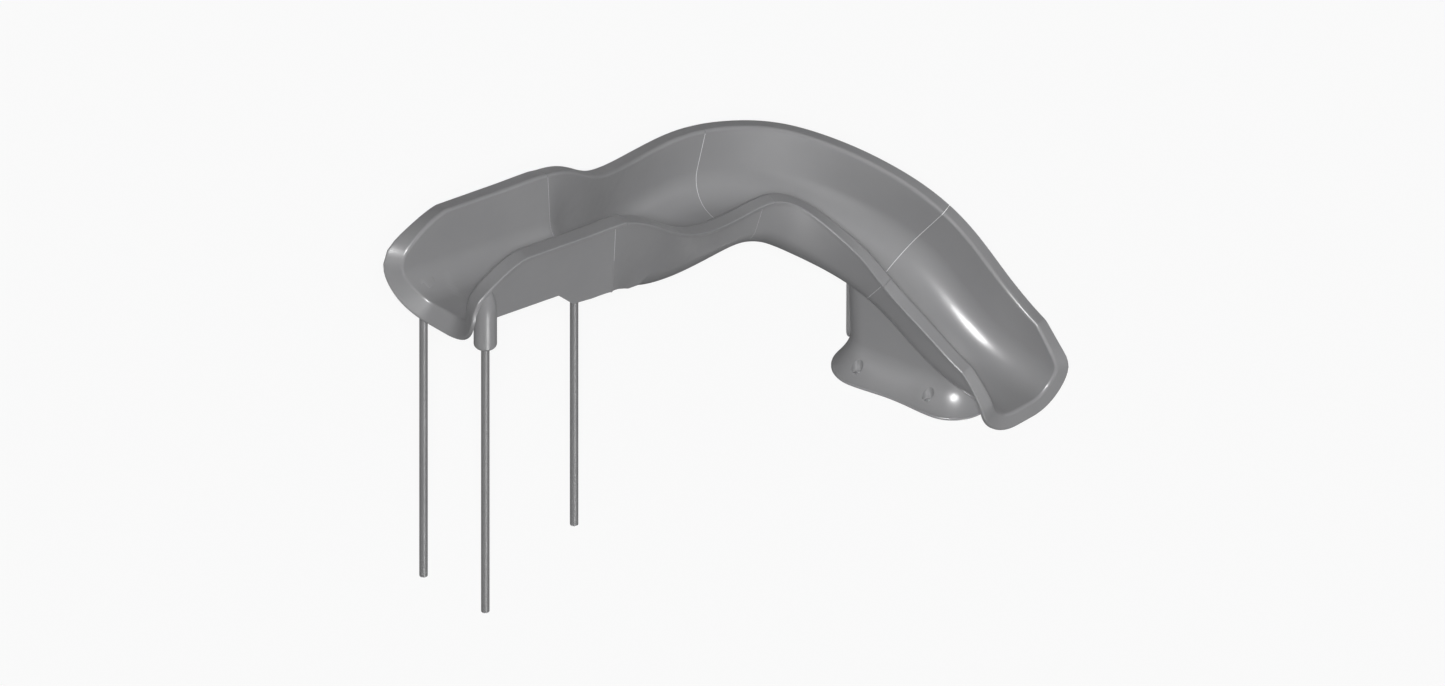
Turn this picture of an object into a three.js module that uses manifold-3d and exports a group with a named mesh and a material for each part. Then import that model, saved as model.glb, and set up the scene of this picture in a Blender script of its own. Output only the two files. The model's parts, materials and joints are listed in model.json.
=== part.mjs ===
// Pool slide: an open moulded flume in four bolted sections, carried by three poles
// under the entry and by a moulded pedestal under the run-out.
// Millimetres, +Z up. The rider starts along +X and leaves along -Y.
// It is laid out from a point on the deck midway between the two front poles, and moved to
// the middle of its footprint at the end.

import * as THREE from "three";
import { mergeVertices } from "three/addons/utils/BufferGeometryUtils.js";
import Module from "manifold-3d";

const wasm = await Module();
wasm.setup();

// ---- driving dimensions ----

const RIM_HEIGHT = 2474; // reference line above the front poles
const JOINT_1 = 1025; // plan distances of the joints from the front poles
const JOINT_2 = 2530;
const JOINT_3 = 3610;
const FLUME_END = 4325;

// The reference line runs midway between the two rims. Each station gives the plan distance
// from the front poles; the heading, fall and bank in degrees (bank lifts the left rim); the
// lean of the section plane, whose foot points back uphill; and the inside width and depth.
const ROUTE = [
  { along: -300, heading: 0, fall: 11, bank: 0, lean: 0, width: 545, depth: 462 },
  { along: 600, heading: 0, fall: 11, bank: 0, lean: 0, width: 545, depth: 462 },
  { along: 950, heading: 0, fall: 11, bank: 0, lean: 0, width: 545, depth: 475 },
  { along: 1025, heading: 0, fall: 20, bank: 0, lean: 0, width: 545, depth: 490 },
  { along: 1355, heading: 10, fall: 38, bank: 10, lean: 14, width: 575, depth: 500 },
  { along: 1685, heading: 17, fall: 26, bank: 13, lean: 16, width: 600, depth: 465 },
  { along: 2015, heading: 13, fall: 15, bank: 11, lean: 12, width: 620, depth: 445 },
  { along: 2345, heading: 1, fall: 7, bank: 8, lean: 9, width: 630, depth: 435 },
  { along: 2675, heading: -19, fall: 18, bank: 5, lean: 15, width: 625, depth: 440 },
  { along: 3005, heading: -34, fall: 34, bank: 9, lean: 28, width: 605, depth: 455 },
  { along: 3335, heading: -47, fall: 39, bank: 15, lean: 34, width: 580, depth: 460 },
  { along: 3665, heading: -72, fall: 41, bank: 13, lean: 36, width: 560, depth: 460 },
  { along: 3995, heading: -83, fall: 36, bank: 4, lean: 30, width: 540, depth: 420 },
  { along: 4325, heading: -90, fall: 15, bank: 1, lean: 12, width: 515, depth: 325 },
];

const SKIN = 7; // moulded wall thickness
const WALL_DRAFT = THREE.MathUtils.degToRad(3);
const FLOOR_CORNER = 185; // inside radius between wall and floor
const RIM_RADIUS = 20; // rolled edge between wall and rim flange
const RIM_RETURN = 14; // down-turned edge of the rim flange
const ENTRY_RIM_FLANGE = 92;
const RIM_FLANGE = 76;
const RIM_DROOP = THREE.MathUtils.degToRad(9); // fall of the rim flange towards its outer edge

// A lip is the rounded open end of the flume. Its edge is given as plan distances from the
// reference station: at the floor, at the foremost point of the nose and where the full-height
// rim begins. flare leans the lip flange outwards, away from the trough.
const ENTRY_LIP = { at: 0, sign: -1, floor: 68, nose: 150, crest: -230, flange: 118, flare: 29 };
const EXIT_LIP = { at: FLUME_END, sign: 1, floor: 72, nose: 66, crest: -110, flange: 92, flare: 8 };
const NOSE_LEVEL = 0.45; // height of the nose as a part of the wall height
const LIP_BLEND = 0.7; // part of the wall height over which the rim flange turns into the lip
const LIP_SHARE = 0.34; // part of a section's length over which its cross-sections follow the lip
const NOSE_POWER = 1.4; // roundness of the edge from nose to rim

const CLEARANCE = 0.3;
const JOINT_SEAL = 2.4;
const HALF_JOINT = JOINT_SEAL / 2 + CLEARANCE;
const FLANGE_ROOT = 300; // where the joint plates start inside the floor, below the rims
const JOINT_FLANGE = { halfWidth: 140, drop: 42, thickness: 9 };

const POLE_DIAMETER = 48.3;
const POLE_WALL = 3;
const FRONT_POLE_Y = 249;
const REAR_POLE_X = 965;
const PLUG_FLANGE = 4;
const SOCKET_BORE = 50;
const BORE_START = 1600; // below every socket
const BORE_END = 5; // room above the pole top
const BOSS_RADIUS = 67;
const BOSS_BOTTOM = 1850;
const BOSS_TOP = 2270;
const FRONT_POLE_TOP = 2000;
const REAR_BOSS_RADIUS = 50;
const REAR_BOSS_BOTTOM = 1722;
const REAR_BOSS_TOP = 1900; // inside the floor it is cut to
const BOSS_SIDES = 18;
const REAR_POLE_TOP = 1790;

// Side skirts carry the outside of the entry walls straight down past the rounded trough.
const SKIRT_DEPTH = 447;
const SKIRT_START = -42;

// A hollow coupling box is moulded under each side of joint 1, open below.
const BOX_DEPTH = 556;
const BOX_SKIN = 9;
const ENTRY_BOX_START = 585;
const ENTRY_BOX_CHAMFER = 120;
const MIDDLE_BOX_END = 1420;

const PEDESTAL = { x: 3458, y: -340, heading: THREE.MathUtils.degToRad(-79) };
const FOOT = {
  halfLength: 512,
  halfWidth: 368,
  corner: 235,
  outerCorner: 235,
  waist: 16,
  thickness: 14,
};
const LEG = { halfLength: 452, halfWidth: 205, corner: 160, outerCorner: 345, spread: 0.03 };
const FLARE_HEIGHT = 190;
const PEDESTAL_START = 2740; // plan distance from which the pedestal is cut to the flume
const CUT_REACH = 620;
const CUT_HEIGHT = 900;
const SADDLE_GAP = 1;
const PEDESTAL_SKIN = 8;
const SLOT_PLAY = 4; // room round the joint plates
const PEDESTAL_TOP = 1250; // before the flume is cut out of it
const ANCHOR = { alongs: [-286, 200], across: 271, pocket: 34, seat: 16, hole: 7 };

// ---- materials ----

const finish = (color, roughness, metalness = 0) =>
  new THREE.MeshStandardMaterial({ color, roughness, metalness });

const materials = {
  moulding: () => finish(0x8d8d90, 0.35),
  pole: () => finish(0x858588, 0.4, 0.4),
  stainless: () => finish(0xb4b6b8, 0.3, 1),
  rubber: () => finish(0x2b2b2d, 0.8),
  fitting: () => finish(0xd8d8d4, 0.4),
};

const ENTRY_ROWS = 9;
const MIDDLE_ROWS = 12;
const CURVE_ROWS = 10;
const EXIT_ROWS = 9;

// ---- route ----

// Smooth value of one column of ROUTE at a plan distance, by a cubic through the stations.
function routeValue(column, along) {
  let i = 0;
  while (i < ROUTE.length - 2 && ROUTE[i + 1].along <= along) i += 1;
  const at = (k) => ROUTE[Math.min(Math.max(k, 0), ROUTE.length - 1)];
  const slope = (k) => {
    const run = at(k + 1).along - at(k - 1).along;
    return run ? (at(k + 1)[column] - at(k - 1)[column]) / run : 0;
  };
  const span = at(i + 1).along - at(i).along;
  const t = (along - at(i).along) / span;
  const h = (a, b, c, d) => ((a * t + b) * t + c) * t + d;
  return (
    h(2, -3, 0, 1) * at(i)[column] +
    h(1, -2, 1, 0) * span * slope(i) +
    h(-2, 3, 0, 0) * at(i + 1)[column] +
    h(1, -1, 0, 0) * span * slope(i + 1)
  );
}

const radians = (column, along) => THREE.MathUtils.degToRad(routeValue(column, along));

const ROUTE_STEP = 5;
const ROUTE_START = ROUTE[0].along;
const routePoints = [];
{
  const point = new THREE.Vector3(
    ROUTE_START,
    0,
    RIM_HEIGHT - ROUTE_START * Math.tan(radians("fall", ROUTE_START)),
  );
  for (let along = ROUTE_START; along <= FLUME_END + 200; along += ROUTE_STEP) {
    routePoints.push(point.clone());
    const middle = along + ROUTE_STEP / 2;
    const heading = radians("heading", middle);
    point.x += Math.cos(heading) * ROUTE_STEP;
    point.y += Math.sin(heading) * ROUTE_STEP;
    point.z -= Math.tan(radians("fall", middle)) * ROUTE_STEP;
  }
}

// The cross-section's own axes at a plan distance: across to the right, up, and ahead, which
// is square to the section plane.
function frameAt(along) {
  const place = (along - ROUTE_START) / ROUTE_STEP;
  const i = Math.min(Math.floor(place), routePoints.length - 2);
  const origin = routePoints[i].clone().lerp(routePoints[i + 1], place - i);
  const heading = radians("heading", along);
  const bank = radians("bank", along);
  const lean = radians("lean", along);
  const right = new THREE.Vector3(Math.sin(heading), -Math.cos(heading), 0);
  const level = new THREE.Vector3(Math.cos(heading), Math.sin(heading), 0);
  const z = new THREE.Vector3(0, 0, 1);
  const ahead = level.clone().multiplyScalar(Math.cos(lean)).addScaledVector(z, -Math.sin(lean));
  const steep = z.clone().multiplyScalar(Math.cos(lean)).addScaledVector(level, Math.sin(lean));
  return {
    origin,
    ahead,
    across: right.clone().multiplyScalar(Math.cos(bank)).addScaledVector(steep, -Math.sin(bank)),
    up: steep.clone().multiplyScalar(Math.cos(bank)).addScaledVector(right, Math.sin(bank)),
    width: routeValue("width", along),
    depth: routeValue("depth", along),
  };
}

// The plan distance of a section plane that stands a gap away from a joint, square to it.
function beside(joint, gap) {
  const lean = radians("lean", joint);
  return joint + gap / (Math.cos(lean) + Math.tan(radians("fall", joint)) * Math.sin(lean));
}

// A point of the section plane: y to the right, z above the rims.
const inFrame = (frame, y, z) =>
  frame.origin.clone().addScaledVector(frame.across, y).addScaledVector(frame.up, z);

// ---- trough section ----

// Heights of the wall points, as parts of the wall from its top; closer together where the
// wall top curves round a lip.
const PLAIN_WALL = [0, 0.5];
const LIP_WALL = [0, 0.025, 0.08, 0.17, 0.3, 0.5, 0.75];
const CORNER_STEPS = 5;

// Inside of the trough from the top of the left wall, over the floor, to the top of the right
// wall, grown outwards by an offset.
function troughProfile(width, depth, offset = 0, wall = PLAIN_WALL) {
  const radius = FLOOR_CORNER + offset;
  const centreZ = -depth + FLOOR_CORNER;
  const top = -RIM_RADIUS;
  const wallX = (z) => width / 2 + z * Math.tan(WALL_DRAFT) + offset / Math.cos(WALL_DRAFT);
  const wallEndZ = centreZ - radius * Math.sin(WALL_DRAFT);
  const centreX = wallX(wallEndZ) - radius * Math.cos(WALL_DRAFT);
  const half = [];
  for (const share of wall) {
    const z = THREE.MathUtils.lerp(top, wallEndZ, share);
    half.push([wallX(z), z]);
  }
  for (let i = 0; i <= CORNER_STEPS; i += 1) {
    const angle = THREE.MathUtils.lerp(-WALL_DRAFT, -Math.PI / 2, i / CORNER_STEPS);
    half.push([centreX + radius * Math.cos(angle), centreZ + radius * Math.sin(angle)]);
  }
  half.push([0, -depth - offset]);
  const left = half.map(([x, z]) => [-x, z]);
  return [...left, ...half.slice(0, -1).reverse()];
}

const troughLine = (along, offset = 0) => {
  const frame = frameAt(along);
  return troughProfile(frame.width, frame.depth, offset).map(([y, z]) => inFrame(frame, y, z));
};

// ---- solids from faces ----

function geometryOf(points, faces) {
  const positions = points.flatMap((p) => [p.x, p.y, p.z]);
  let index = faces.flat();
  let volume = 0;
  for (let i = 0; i < index.length; i += 3) {
    const [a, b, c] = [points[index[i]], points[index[i + 1]], points[index[i + 2]]];
    volume += a.dot(b.clone().cross(c));
  }
  if (volume < 0) index = index.reverse();
  const geometry = new THREE.BufferGeometry();
  geometry.setAttribute("position", new THREE.Float32BufferAttribute(positions, 3));
  geometry.setIndex(index);
  return geometry;
}

const quad = (a, b, c, d) => [[a, b, c], [a, c, d]];

// A closed solid from a skin of quads and the same skin moved off by the given vectors.
function thickened(points, quads, offsets) {
  const count = points.length;
  const all = [...points, ...points.map((p, i) => p.clone().add(offsets[i]))];
  const faces = [];
  const edges = new Map();
  for (const [a, b, c, d] of quads) {
    faces.push(...quad(a, b, c, d));
    faces.push(...quad(d + count, c + count, b + count, a + count));
    for (const [from, to] of [[a, b], [b, c], [c, d], [d, a]]) {
      const back = `${to},${from}`;
      if (edges.has(back)) edges.delete(back);
      else edges.set(`${from},${to}`, [from, to]);
    }
  }
  for (const [from, to] of edges.values()) {
    faces.push(...quad(to, from, from + count, to + count));
  }
  return geometryOf(all, faces);
}

// A closed solid between two grids of points, each a list of rows.
function solidBetween(inner, outer) {
  const columns = inner[0].length;
  const quads = [];
  for (let i = 0; i + 1 < inner.length; i += 1) {
    for (let j = 0; j + 1 < columns; j += 1) {
      const a = i * columns + j;
      quads.push([a, a + 1, a + columns + 1, a + columns]);
    }
  }
  const points = inner.flat();
  const offsets = outer.flat().map((p, i) => p.clone().sub(points[i]));
  return thickened(points, quads, offsets);
}

// A closed solid through rings of points, each seen whole from its middle.
function lofted(rings) {
  const count = rings[0].length;
  const points = rings.flat();
  const faces = [];
  for (let i = 0; i + 1 < rings.length; i += 1) {
    for (let j = 0; j < count; j += 1) {
      const k = (j + 1) % count;
      faces.push(...quad(i * count + j, i * count + k, (i + 1) * count + k, (i + 1) * count + j));
    }
  }
  for (const last of [false, true]) {
    const ring = last ? rings.at(-1) : rings[0];
    const base = last ? (rings.length - 1) * count : 0;
    const middle = ring.reduce((sum, p) => sum.add(p), new THREE.Vector3()).divideScalar(count);
    points.push(middle);
    for (let j = 0; j < count; j += 1) {
      const [a, b] = last ? [base + j, base + ((j + 1) % count)] : [base + ((j + 1) % count), base + j];
      faces.push([a, b, points.length - 1]);
    }
  }
  return geometryOf(points, faces);
}

function solid(geometry) {
  const bare = geometry.clone();
  bare.deleteAttribute("normal");
  bare.deleteAttribute("uv");
  const merged = mergeVertices(bare, 1e-3);
  return new wasm.Manifold(
    new wasm.Mesh({
      numProp: 3,
      vertProperties: new Float32Array(merged.attributes.position.array),
      triVerts: new Uint32Array(merged.index.array),
    }),
  );
}

// The main body only: near-touching faces can leave slivers behind.
function geometryFromSolid(manifold) {
  const main = manifold.decompose().reduce((a, b) => (b.volume() > a.volume() ? b : a));
  const mesh = main.getMesh();
  const geometry = new THREE.BufferGeometry();
  geometry.setAttribute("position", new THREE.Float32BufferAttribute(mesh.vertProperties, 3));
  geometry.setIndex(Array.from(mesh.triVerts));
  return geometry;
}

const SIDES = 20;

// A turned solid standing on its axis: outline gives [radius, height] pairs from axis to axis.
function turned(outline, sides = SIDES) {
  const points = outline.map(([radius, height]) => new THREE.Vector2(radius, height));
  return new THREE.LatheGeometry(points, sides).rotateX(Math.PI / 2);
}

const rod = (radius, bottom, top, sides = SIDES) =>
  turned([[0, bottom], [radius, bottom], [radius, top], [0, top]], sides);

// ---- flume sections ----

const smooth = (t) => {
  const x = THREE.MathUtils.clamp(t, 0, 1);
  return x * x * (3 - 2 * x);
};

// Plan distance of a lip's edge from its station, at a height above the floor.
function lipReach(lip, height, wallHeight) {
  const level = height / wallHeight;
  if (level < NOSE_LEVEL) {
    const t = 1 - level / NOSE_LEVEL;
    return THREE.MathUtils.lerp(lip.nose, lip.floor, t * t);
  }
  const t = Math.min((level - NOSE_LEVEL) / (1 - NOSE_LEVEL), 1);
  const back = 1 - (1 - t ** NOSE_POWER) ** (1 / NOSE_POWER);
  return THREE.MathUtils.lerp(lip.nose, lip.crest, back);
}

const FILLET_STEPS = 2;

// Flange points beyond an edge point: a rolled edge, a flat and a turned-down edge. beyond
// points on along the skin, outwards points away from the rider, lean turns the flat.
function flangePoints(edge, beyond, outwards, width, lean) {
  const points = [];
  const turn = Math.PI / 2 - lean;
  const at = (b, o) =>
    edge.clone().addScaledVector(beyond, b).addScaledVector(outwards, o);
  for (let i = 1; i <= FILLET_STEPS; i += 1) {
    const angle = (turn * i) / FILLET_STEPS;
    points.push(at(RIM_RADIUS * Math.sin(angle), RIM_RADIUS * (1 - Math.cos(angle))));
  }
  const flat = width - RIM_RADIUS;
  const [b, o] = [RIM_RADIUS * Math.sin(turn), RIM_RADIUS * (1 - Math.cos(turn))];
  const [db, dout] = [Math.cos(turn), Math.sin(turn)];
  points.push(at(b + db * flat, o + dout * flat));
  points.push(
    at(b + db * (flat + RIM_RETURN * 0.5) - dout * RIM_RETURN * 0.5,
      o + dout * (flat + RIM_RETURN * 0.5) + db * RIM_RETURN * 0.5),
  );
  points.push(
    at(b + db * (flat + RIM_RETURN * 0.6) - dout * RIM_RETURN * 1.6,
      o + dout * (flat + RIM_RETURN * 0.6) + db * RIM_RETURN * 1.6),
  );
  return points;
}

const rimFlange = (along) =>
  THREE.MathUtils.lerp(ENTRY_RIM_FLANGE, RIM_FLANGE, smooth((along - JOINT_1 + 100) / 500));

// One flume section between two plan distances. startLip and endLip round off an open end.
function flumeSection({ from, to, rows, startLip, endLip }) {
  const wall = startLip || endLip ? LIP_WALL : PLAIN_WALL;
  const profile = (frame) => troughProfile(frame.width, frame.depth, 0, wall);
  const columns = profile(frameAt(from)).length;
  const points = [];
  const frames = [];
  const alongs = [];
  const drops = []; // how far below the wall top, as a part of the wall height
  for (let i = 0; i <= rows; i += 1) {
    for (let j = 0; j < columns; j += 1) {
      const edgeAt = (lip, plain) => {
        if (!lip) return plain;
        const frame = frameAt(lip.at);
        const height = profile(frame)[j][1] + frame.depth;
        return lip.at + lip.sign * lipReach(lip, height, frame.depth - RIM_RADIUS);
      };
      const t = i / rows;
      const plain = THREE.MathUtils.lerp(from, to, t);
      const along = plain
        + (edgeAt(startLip, from) - from) * Math.max(1 - t / LIP_SHARE, 0)
        + (edgeAt(endLip, to) - to) * Math.max(1 - (1 - t) / LIP_SHARE, 0);
      const frame = frameAt(along);
      const [y, z] = profile(frame)[j];
      points.push(inFrame(frame, y, z));
      frames.push(frame);
      alongs.push(along);
      drops.push((-RIM_RADIUS - z) / (frame.depth - RIM_RADIUS));
    }
  }
  const id = (i, j) => i * columns + j;
  const quads = [];
  for (let i = 0; i < rows; i += 1) {
    for (let j = 0; j + 1 < columns; j += 1) {
      quads.push([id(i, j), id(i, j + 1), id(i + 1, j + 1), id(i + 1, j)]);
    }
  }

  // The flange runs along both rims and, at a lip, round the open end.
  const leftRim = Array.from({ length: rows + 1 }, (_, i) => id(i, 0));
  const rightRim = Array.from({ length: rows + 1 }, (_, i) => id(i, columns - 1));
  const startEdge = Array.from({ length: columns }, (_, j) => id(0, j));
  const endEdge = Array.from({ length: columns }, (_, j) => id(rows, j));
  const chains = [];
  if (startLip) {
    chains.push([...leftRim.slice(1).reverse(), ...startEdge, ...rightRim.slice(1)]);
  } else if (endLip) {
    chains.push([...leftRim.slice(0, -1), ...endEdge, ...rightRim.slice(0, -1).reverse()]);
  } else {
    chains.push(leftRim, rightRim);
  }
  const normals = skinNormals(points, quads);
  const lipIds = new Set(startLip ? startEdge : endLip ? endEdge : []);
  const lip = startLip || endLip;
  for (const chain of chains) {
    let previous = null;
    for (let k = 0; k < chain.length; k += 1) {
      const here = chain[k];
      const edge = points[here];
      const before = points[chain[Math.max(k - 1, 0)]];
      const after = points[chain[Math.min(k + 1, chain.length - 1)]];
      const tangent = after.clone().sub(before).normalize();
      const frame = frames[here];
      let outwards = frame.across.clone().multiplyScalar(here % columns < columns / 2 ? -1 : 1);
      let beyond = frame.up.clone();
      let width = rimFlange(alongs[here]);
      let lean = -RIM_DROOP;
      if (lipIds.has(here)) {
        const fromRim = drops[here] / LIP_BLEND;
        const share = smooth(fromRim);
        const conormal = tangent.clone().cross(normals[here]).normalize();
        if (conormal.dot(frame.ahead) * lip.sign < 0) conormal.negate();
        beyond.lerp(conormal, share).normalize();
        const away = normals[here].clone().negate();
        outwards = outwards.lerp(away, smooth(fromRim * 2)).normalize();
        beyond.addScaledVector(outwards, -beyond.dot(outwards)).normalize();
        width = THREE.MathUtils.lerp(width, lip.flange, share);
        lean = THREE.MathUtils.lerp(lean, THREE.MathUtils.degToRad(lip.flare), share);
      }
      const strip = [here];
      for (const p of flangePoints(edge, beyond, outwards, width, lean)) {
        strip.push(points.length);
        points.push(p);
      }
      if (previous) {
        for (let s = 0; s + 1 < strip.length; s += 1) {
          quads.push([previous[s], previous[s + 1], strip[s + 1], strip[s]]);
        }
      }
      previous = strip;
    }
  }
  const oriented = orientedQuads(quads, points, id(0, 0));
  const skin = skinNormals(points, oriented);
  const jointFrames = [!startLip && frameAt(from), !endLip && frameAt(to)].filter(Boolean);
  const offsets = skin.map((normal, i) => {
    const offset = normal.clone();
    const joint = jointFrames.find(({ origin, ahead }) =>
      Math.abs(points[i].clone().sub(origin).dot(ahead)) < 0.01);
    if (joint) offset.addScaledVector(joint.ahead, -offset.dot(joint.ahead)).normalize();
    return offset.multiplyScalar(-SKIN);
  });
  return thickened(points, oriented, offsets);
}

// Mean face normals at the points of a skin of quads.
function skinNormals(points, quads) {
  const normals = points.map(() => new THREE.Vector3());
  for (const [a, b, c, d] of quads) {
    const normal = points[c].clone().sub(points[a]).cross(points[d].clone().sub(points[b]));
    normal.normalize();
    for (const i of [a, b, c, d]) normals[i].add(normal);
  }
  return normals.map((n) => n.normalize());
}

// The quads turned so that neighbours agree and the first one faces the rider.
function orientedQuads(quads, points, start) {
  const byEdge = new Map();
  quads.forEach((q, index) => {
    for (let k = 0; k < 4; k += 1) {
      const key = [q[k], q[(k + 1) % 4]].sort((x, y) => x - y).join();
      if (!byEdge.has(key)) byEdge.set(key, []);
      byEdge.get(key).push(index);
    }
  });
  const result = quads.map((q) => [...q]);
  const done = new Set([0]);
  const queue = [0];
  while (queue.length) {
    const index = queue.shift();
    const q = result[index];
    for (let k = 0; k < 4; k += 1) {
      const [a, b] = [q[k], q[(k + 1) % 4]];
      const key = [a, b].sort((x, y) => x - y).join();
      for (const other of byEdge.get(key)) {
        if (done.has(other)) continue;
        const r = result[other];
        const same = r.some((v, m) => v === a && r[(m + 1) % 4] === b);
        if (same) r.reverse();
        done.add(other);
        queue.push(other);
      }
    }
  }
  const [a, b, c, d] = result[0];
  const normal = points[c].clone().sub(points[a]).cross(points[d].clone().sub(points[b]));
  const inwards = new THREE.Vector3(0, 0, RIM_HEIGHT).sub(points[start]);
  if (normal.dot(inwards) < 0) result.forEach((q) => q.reverse());
  return result;
}

// ---- solids cut from and joined to the flume ----

const spread = (from, to, count) =>
  Array.from({ length: count + 1 }, (_, i) => THREE.MathUtils.lerp(from, to, i / count));

// The trough as one solid, filled to its rims and grown by an offset.
const troughSolid = (from, to, offset, count = 12) =>
  solid(lofted(spread(from, to, count).map((along) => troughLine(along, offset))));

// A box in the section planes between plan distances: half width, top and bottom below the rims.
const sectionBox = (stations) =>
  solid(lofted(stations.map(({ along, halfWidth, top, bottom }) => {
    const frame = frameAt(along);
    return [[-halfWidth, -top], [-halfWidth, -bottom], [halfWidth, -bottom], [halfWidth, -top]]
      .map(([y, z]) => inFrame(frame, y, z));
  })));

const outerHalf = (along) => routeValue("width", along) / 2 + SKIN;
const BOX_TOP = 250;
const BOX_INSET = Math.tan(WALL_DRAFT) * BOX_DEPTH * 0.75; // keeps the box inside the drafted walls
const ENTRY_BOX_END = 860;
const MIDDLE_BOX_SLOPE = 1190;

// A hollow box under the trough, open below, with its walls flush with the trough walls.
function couplingBox(depths) {
  const from = depths[0].along;
  const to = depths.at(-1).along;
  const past = 40;
  const shape = (inset, deeper) =>
    sectionBox(depths.map(({ along, depth }) => ({
      along: THREE.MathUtils.clamp(along, from + inset, to - inset),
      halfWidth: outerHalf(along) - BOX_INSET - inset,
      top: BOX_TOP,
      bottom: depth + deeper,
    })));
  const body = shape(0, 0).subtract(troughSolid(from - past, to + past, SKIN / 2));
  const hollow = shape(BOX_SKIN, past);
  return body.subtract(hollow.subtract(troughSolid(from - past, to + past, SKIN)));
}

const entryBox = () =>
  couplingBox([
    { along: ENTRY_BOX_START, depth: SKIRT_DEPTH - 8 },
    { along: ENTRY_BOX_START + ENTRY_BOX_CHAMFER, depth: BOX_DEPTH - 12 },
    { along: ENTRY_BOX_END, depth: BOX_DEPTH },
    { along: beside(JOINT_1, -HALF_JOINT), depth: BOX_DEPTH },
  ]);

const middleBox = () =>
  couplingBox([
    { along: beside(JOINT_1, HALF_JOINT), depth: BOX_DEPTH - 6 },
    { along: MIDDLE_BOX_SLOPE, depth: BOX_DEPTH - 44 },
    { along: MIDDLE_BOX_END, depth: routeValue("depth", MIDDLE_BOX_END) - 30 },
  ]);

// Straight skirts under the entry walls.
function entrySkirts() {
  const from = SKIRT_START;
  const to = beside(JOINT_1, -HALF_JOINT);
  return [-1, 1].map((side) => {
    const row = (along, inset) => {
      const frame = frameAt(along);
      return [-BOX_TOP, -SKIRT_DEPTH].map((z) =>
        inFrame(frame, side * (outerHalf(along) + z * Math.tan(WALL_DRAFT) - inset), z));
    };
    const rows = [from, to];
    return solid(solidBetween(rows.map((a) => row(a, SKIN - 1)), rows.map((a) => row(a, 0))));
  });
}

// A pole socket turned round an upright axis, bored for the pole.
const bossOutline = (radius, bottom, top, cone) => [
  [0, bottom], [radius * 0.72, bottom], [radius * 0.92, bottom + 9], [radius, bottom + 26],
  [radius, top - cone], [radius * 0.5, top], [0, top],
];

function placedSolid(geometry, x, y, z = 0) {
  return solid(geometry.translate(x, y, z));
}

const joined = (solids) => solids.reduce((sum, next) => sum.add(next));

function entrySection() {
  const to = beside(JOINT_1, -HALF_JOINT);
  const shell = solid(flumeSection({ from: 0, to, rows: ENTRY_ROWS, startLip: ENTRY_LIP }));
  const keepOut = troughSolid(-290, JOINT_1, SKIN / 2, 4);
  const frontOutline = bossOutline(BOSS_RADIUS, BOSS_BOTTOM, BOSS_TOP, 150);
  const bosses = [-1, 1].map((side) =>
    placedSolid(turned(frontOutline, BOSS_SIDES), 0, side * FRONT_POLE_Y));
  const rearOutline = bossOutline(REAR_BOSS_RADIUS, REAR_BOSS_BOTTOM, REAR_BOSS_TOP, 20);
  const rearBoss = placedSolid(turned(rearOutline), REAR_POLE_X, 0);
  const outside = joined([...bosses, rearBoss, ...entrySkirts()]).subtract(keepOut);
  const bores = [-1, 0, 1].map((side) => {
    const [x, top] = side ? [0, FRONT_POLE_TOP] : [REAR_POLE_X, REAR_POLE_TOP];
    return placedSolid(rod(SOCKET_BORE / 2, BORE_START, top + BORE_END), x, side * FRONT_POLE_Y);
  });
  const pins = POLES.map(setBoltHole);
  return joined([shell, outside, entryBox()])
    .subtract(joined([...bores, ...pins, ...jointBoltHoles(JOINT_BOLTS[0]), waterHole()]));
}

function middleSection() {
  const from = beside(JOINT_1, HALF_JOINT);
  const to = beside(JOINT_2, -HALF_JOINT);
  const shell = solid(flumeSection({ from, to, rows: MIDDLE_ROWS }));
  return joined([shell, middleBox(), jointFlange(to, -1)])
    .subtract(joined([...jointBoltHoles(JOINT_BOLTS[0]), ...jointBoltHoles(JOINT_BOLTS[1])]));
}

function curveSection() {
  const from = beside(JOINT_2, HALF_JOINT);
  const to = beside(JOINT_3, -HALF_JOINT);
  return joined([
    solid(flumeSection({ from, to, rows: CURVE_ROWS })),
    jointFlange(from, 1), jointFlange(to, -1), ...saddleBosses(from, to),
  ]).subtract(joined([
    ...jointBoltHoles(JOINT_BOLTS[1]),
    ...jointBoltHoles(JOINT_BOLTS[2]),
    ...saddleInserts(),
  ]));
}

function exitSection() {
  const from = beside(JOINT_3, HALF_JOINT);
  return joined([
    solid(flumeSection({ from, to: FLUME_END, rows: EXIT_ROWS, endLip: EXIT_LIP })),
    jointFlange(from, 1), ...saddleBosses(from, FLUME_END),
  ]).subtract(joined([...jointBoltHoles(JOINT_BOLTS[2]), ...saddleInserts()]));
}

// A plate standing down from the floor at a joint. grow makes it larger all round, as a cutter.
function jointFlange(along, direction, grow = 0) {
  const frame = frameAt(along);
  const half = JOINT_FLANGE.halfWidth + grow;
  const bottom = frame.depth + SKIN + JOINT_FLANGE.drop + grow;
  const face = (out) =>
    [[-half, -FLANGE_ROOT], [-half, -bottom], [half, -bottom], [half, -FLANGE_ROOT]]
      .map(([y, z]) => inFrame(frame, y, z).addScaledVector(frame.ahead, direction * out));
  const plate = solid(lofted([face(-grow), face(JOINT_FLANGE.thickness + grow)]));
  return grow ? plate : plate.subtract(troughSolid(along - 60, along + 60, SKIN / 2, 4));
}

// ---- fasteners ----

// A shape made along +Z, laid along a direction at a place.
function laid(geometry, direction, place) {
  const turn = new THREE.Quaternion().setFromUnitVectors(new THREE.Vector3(0, 0, 1), direction);
  return geometry.applyQuaternion(turn).translate(place.x, place.y, place.z);
}

const HEX = 6;
const HOLE_PLAY = 0.5; // a hole's radius over its bolt's
const HOLE_SIDES = 8;
const WASHER = { radius: 20, thickness: 3 };
const ANCHOR_HEAD = { radius: 11.5, height: 8 };

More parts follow.
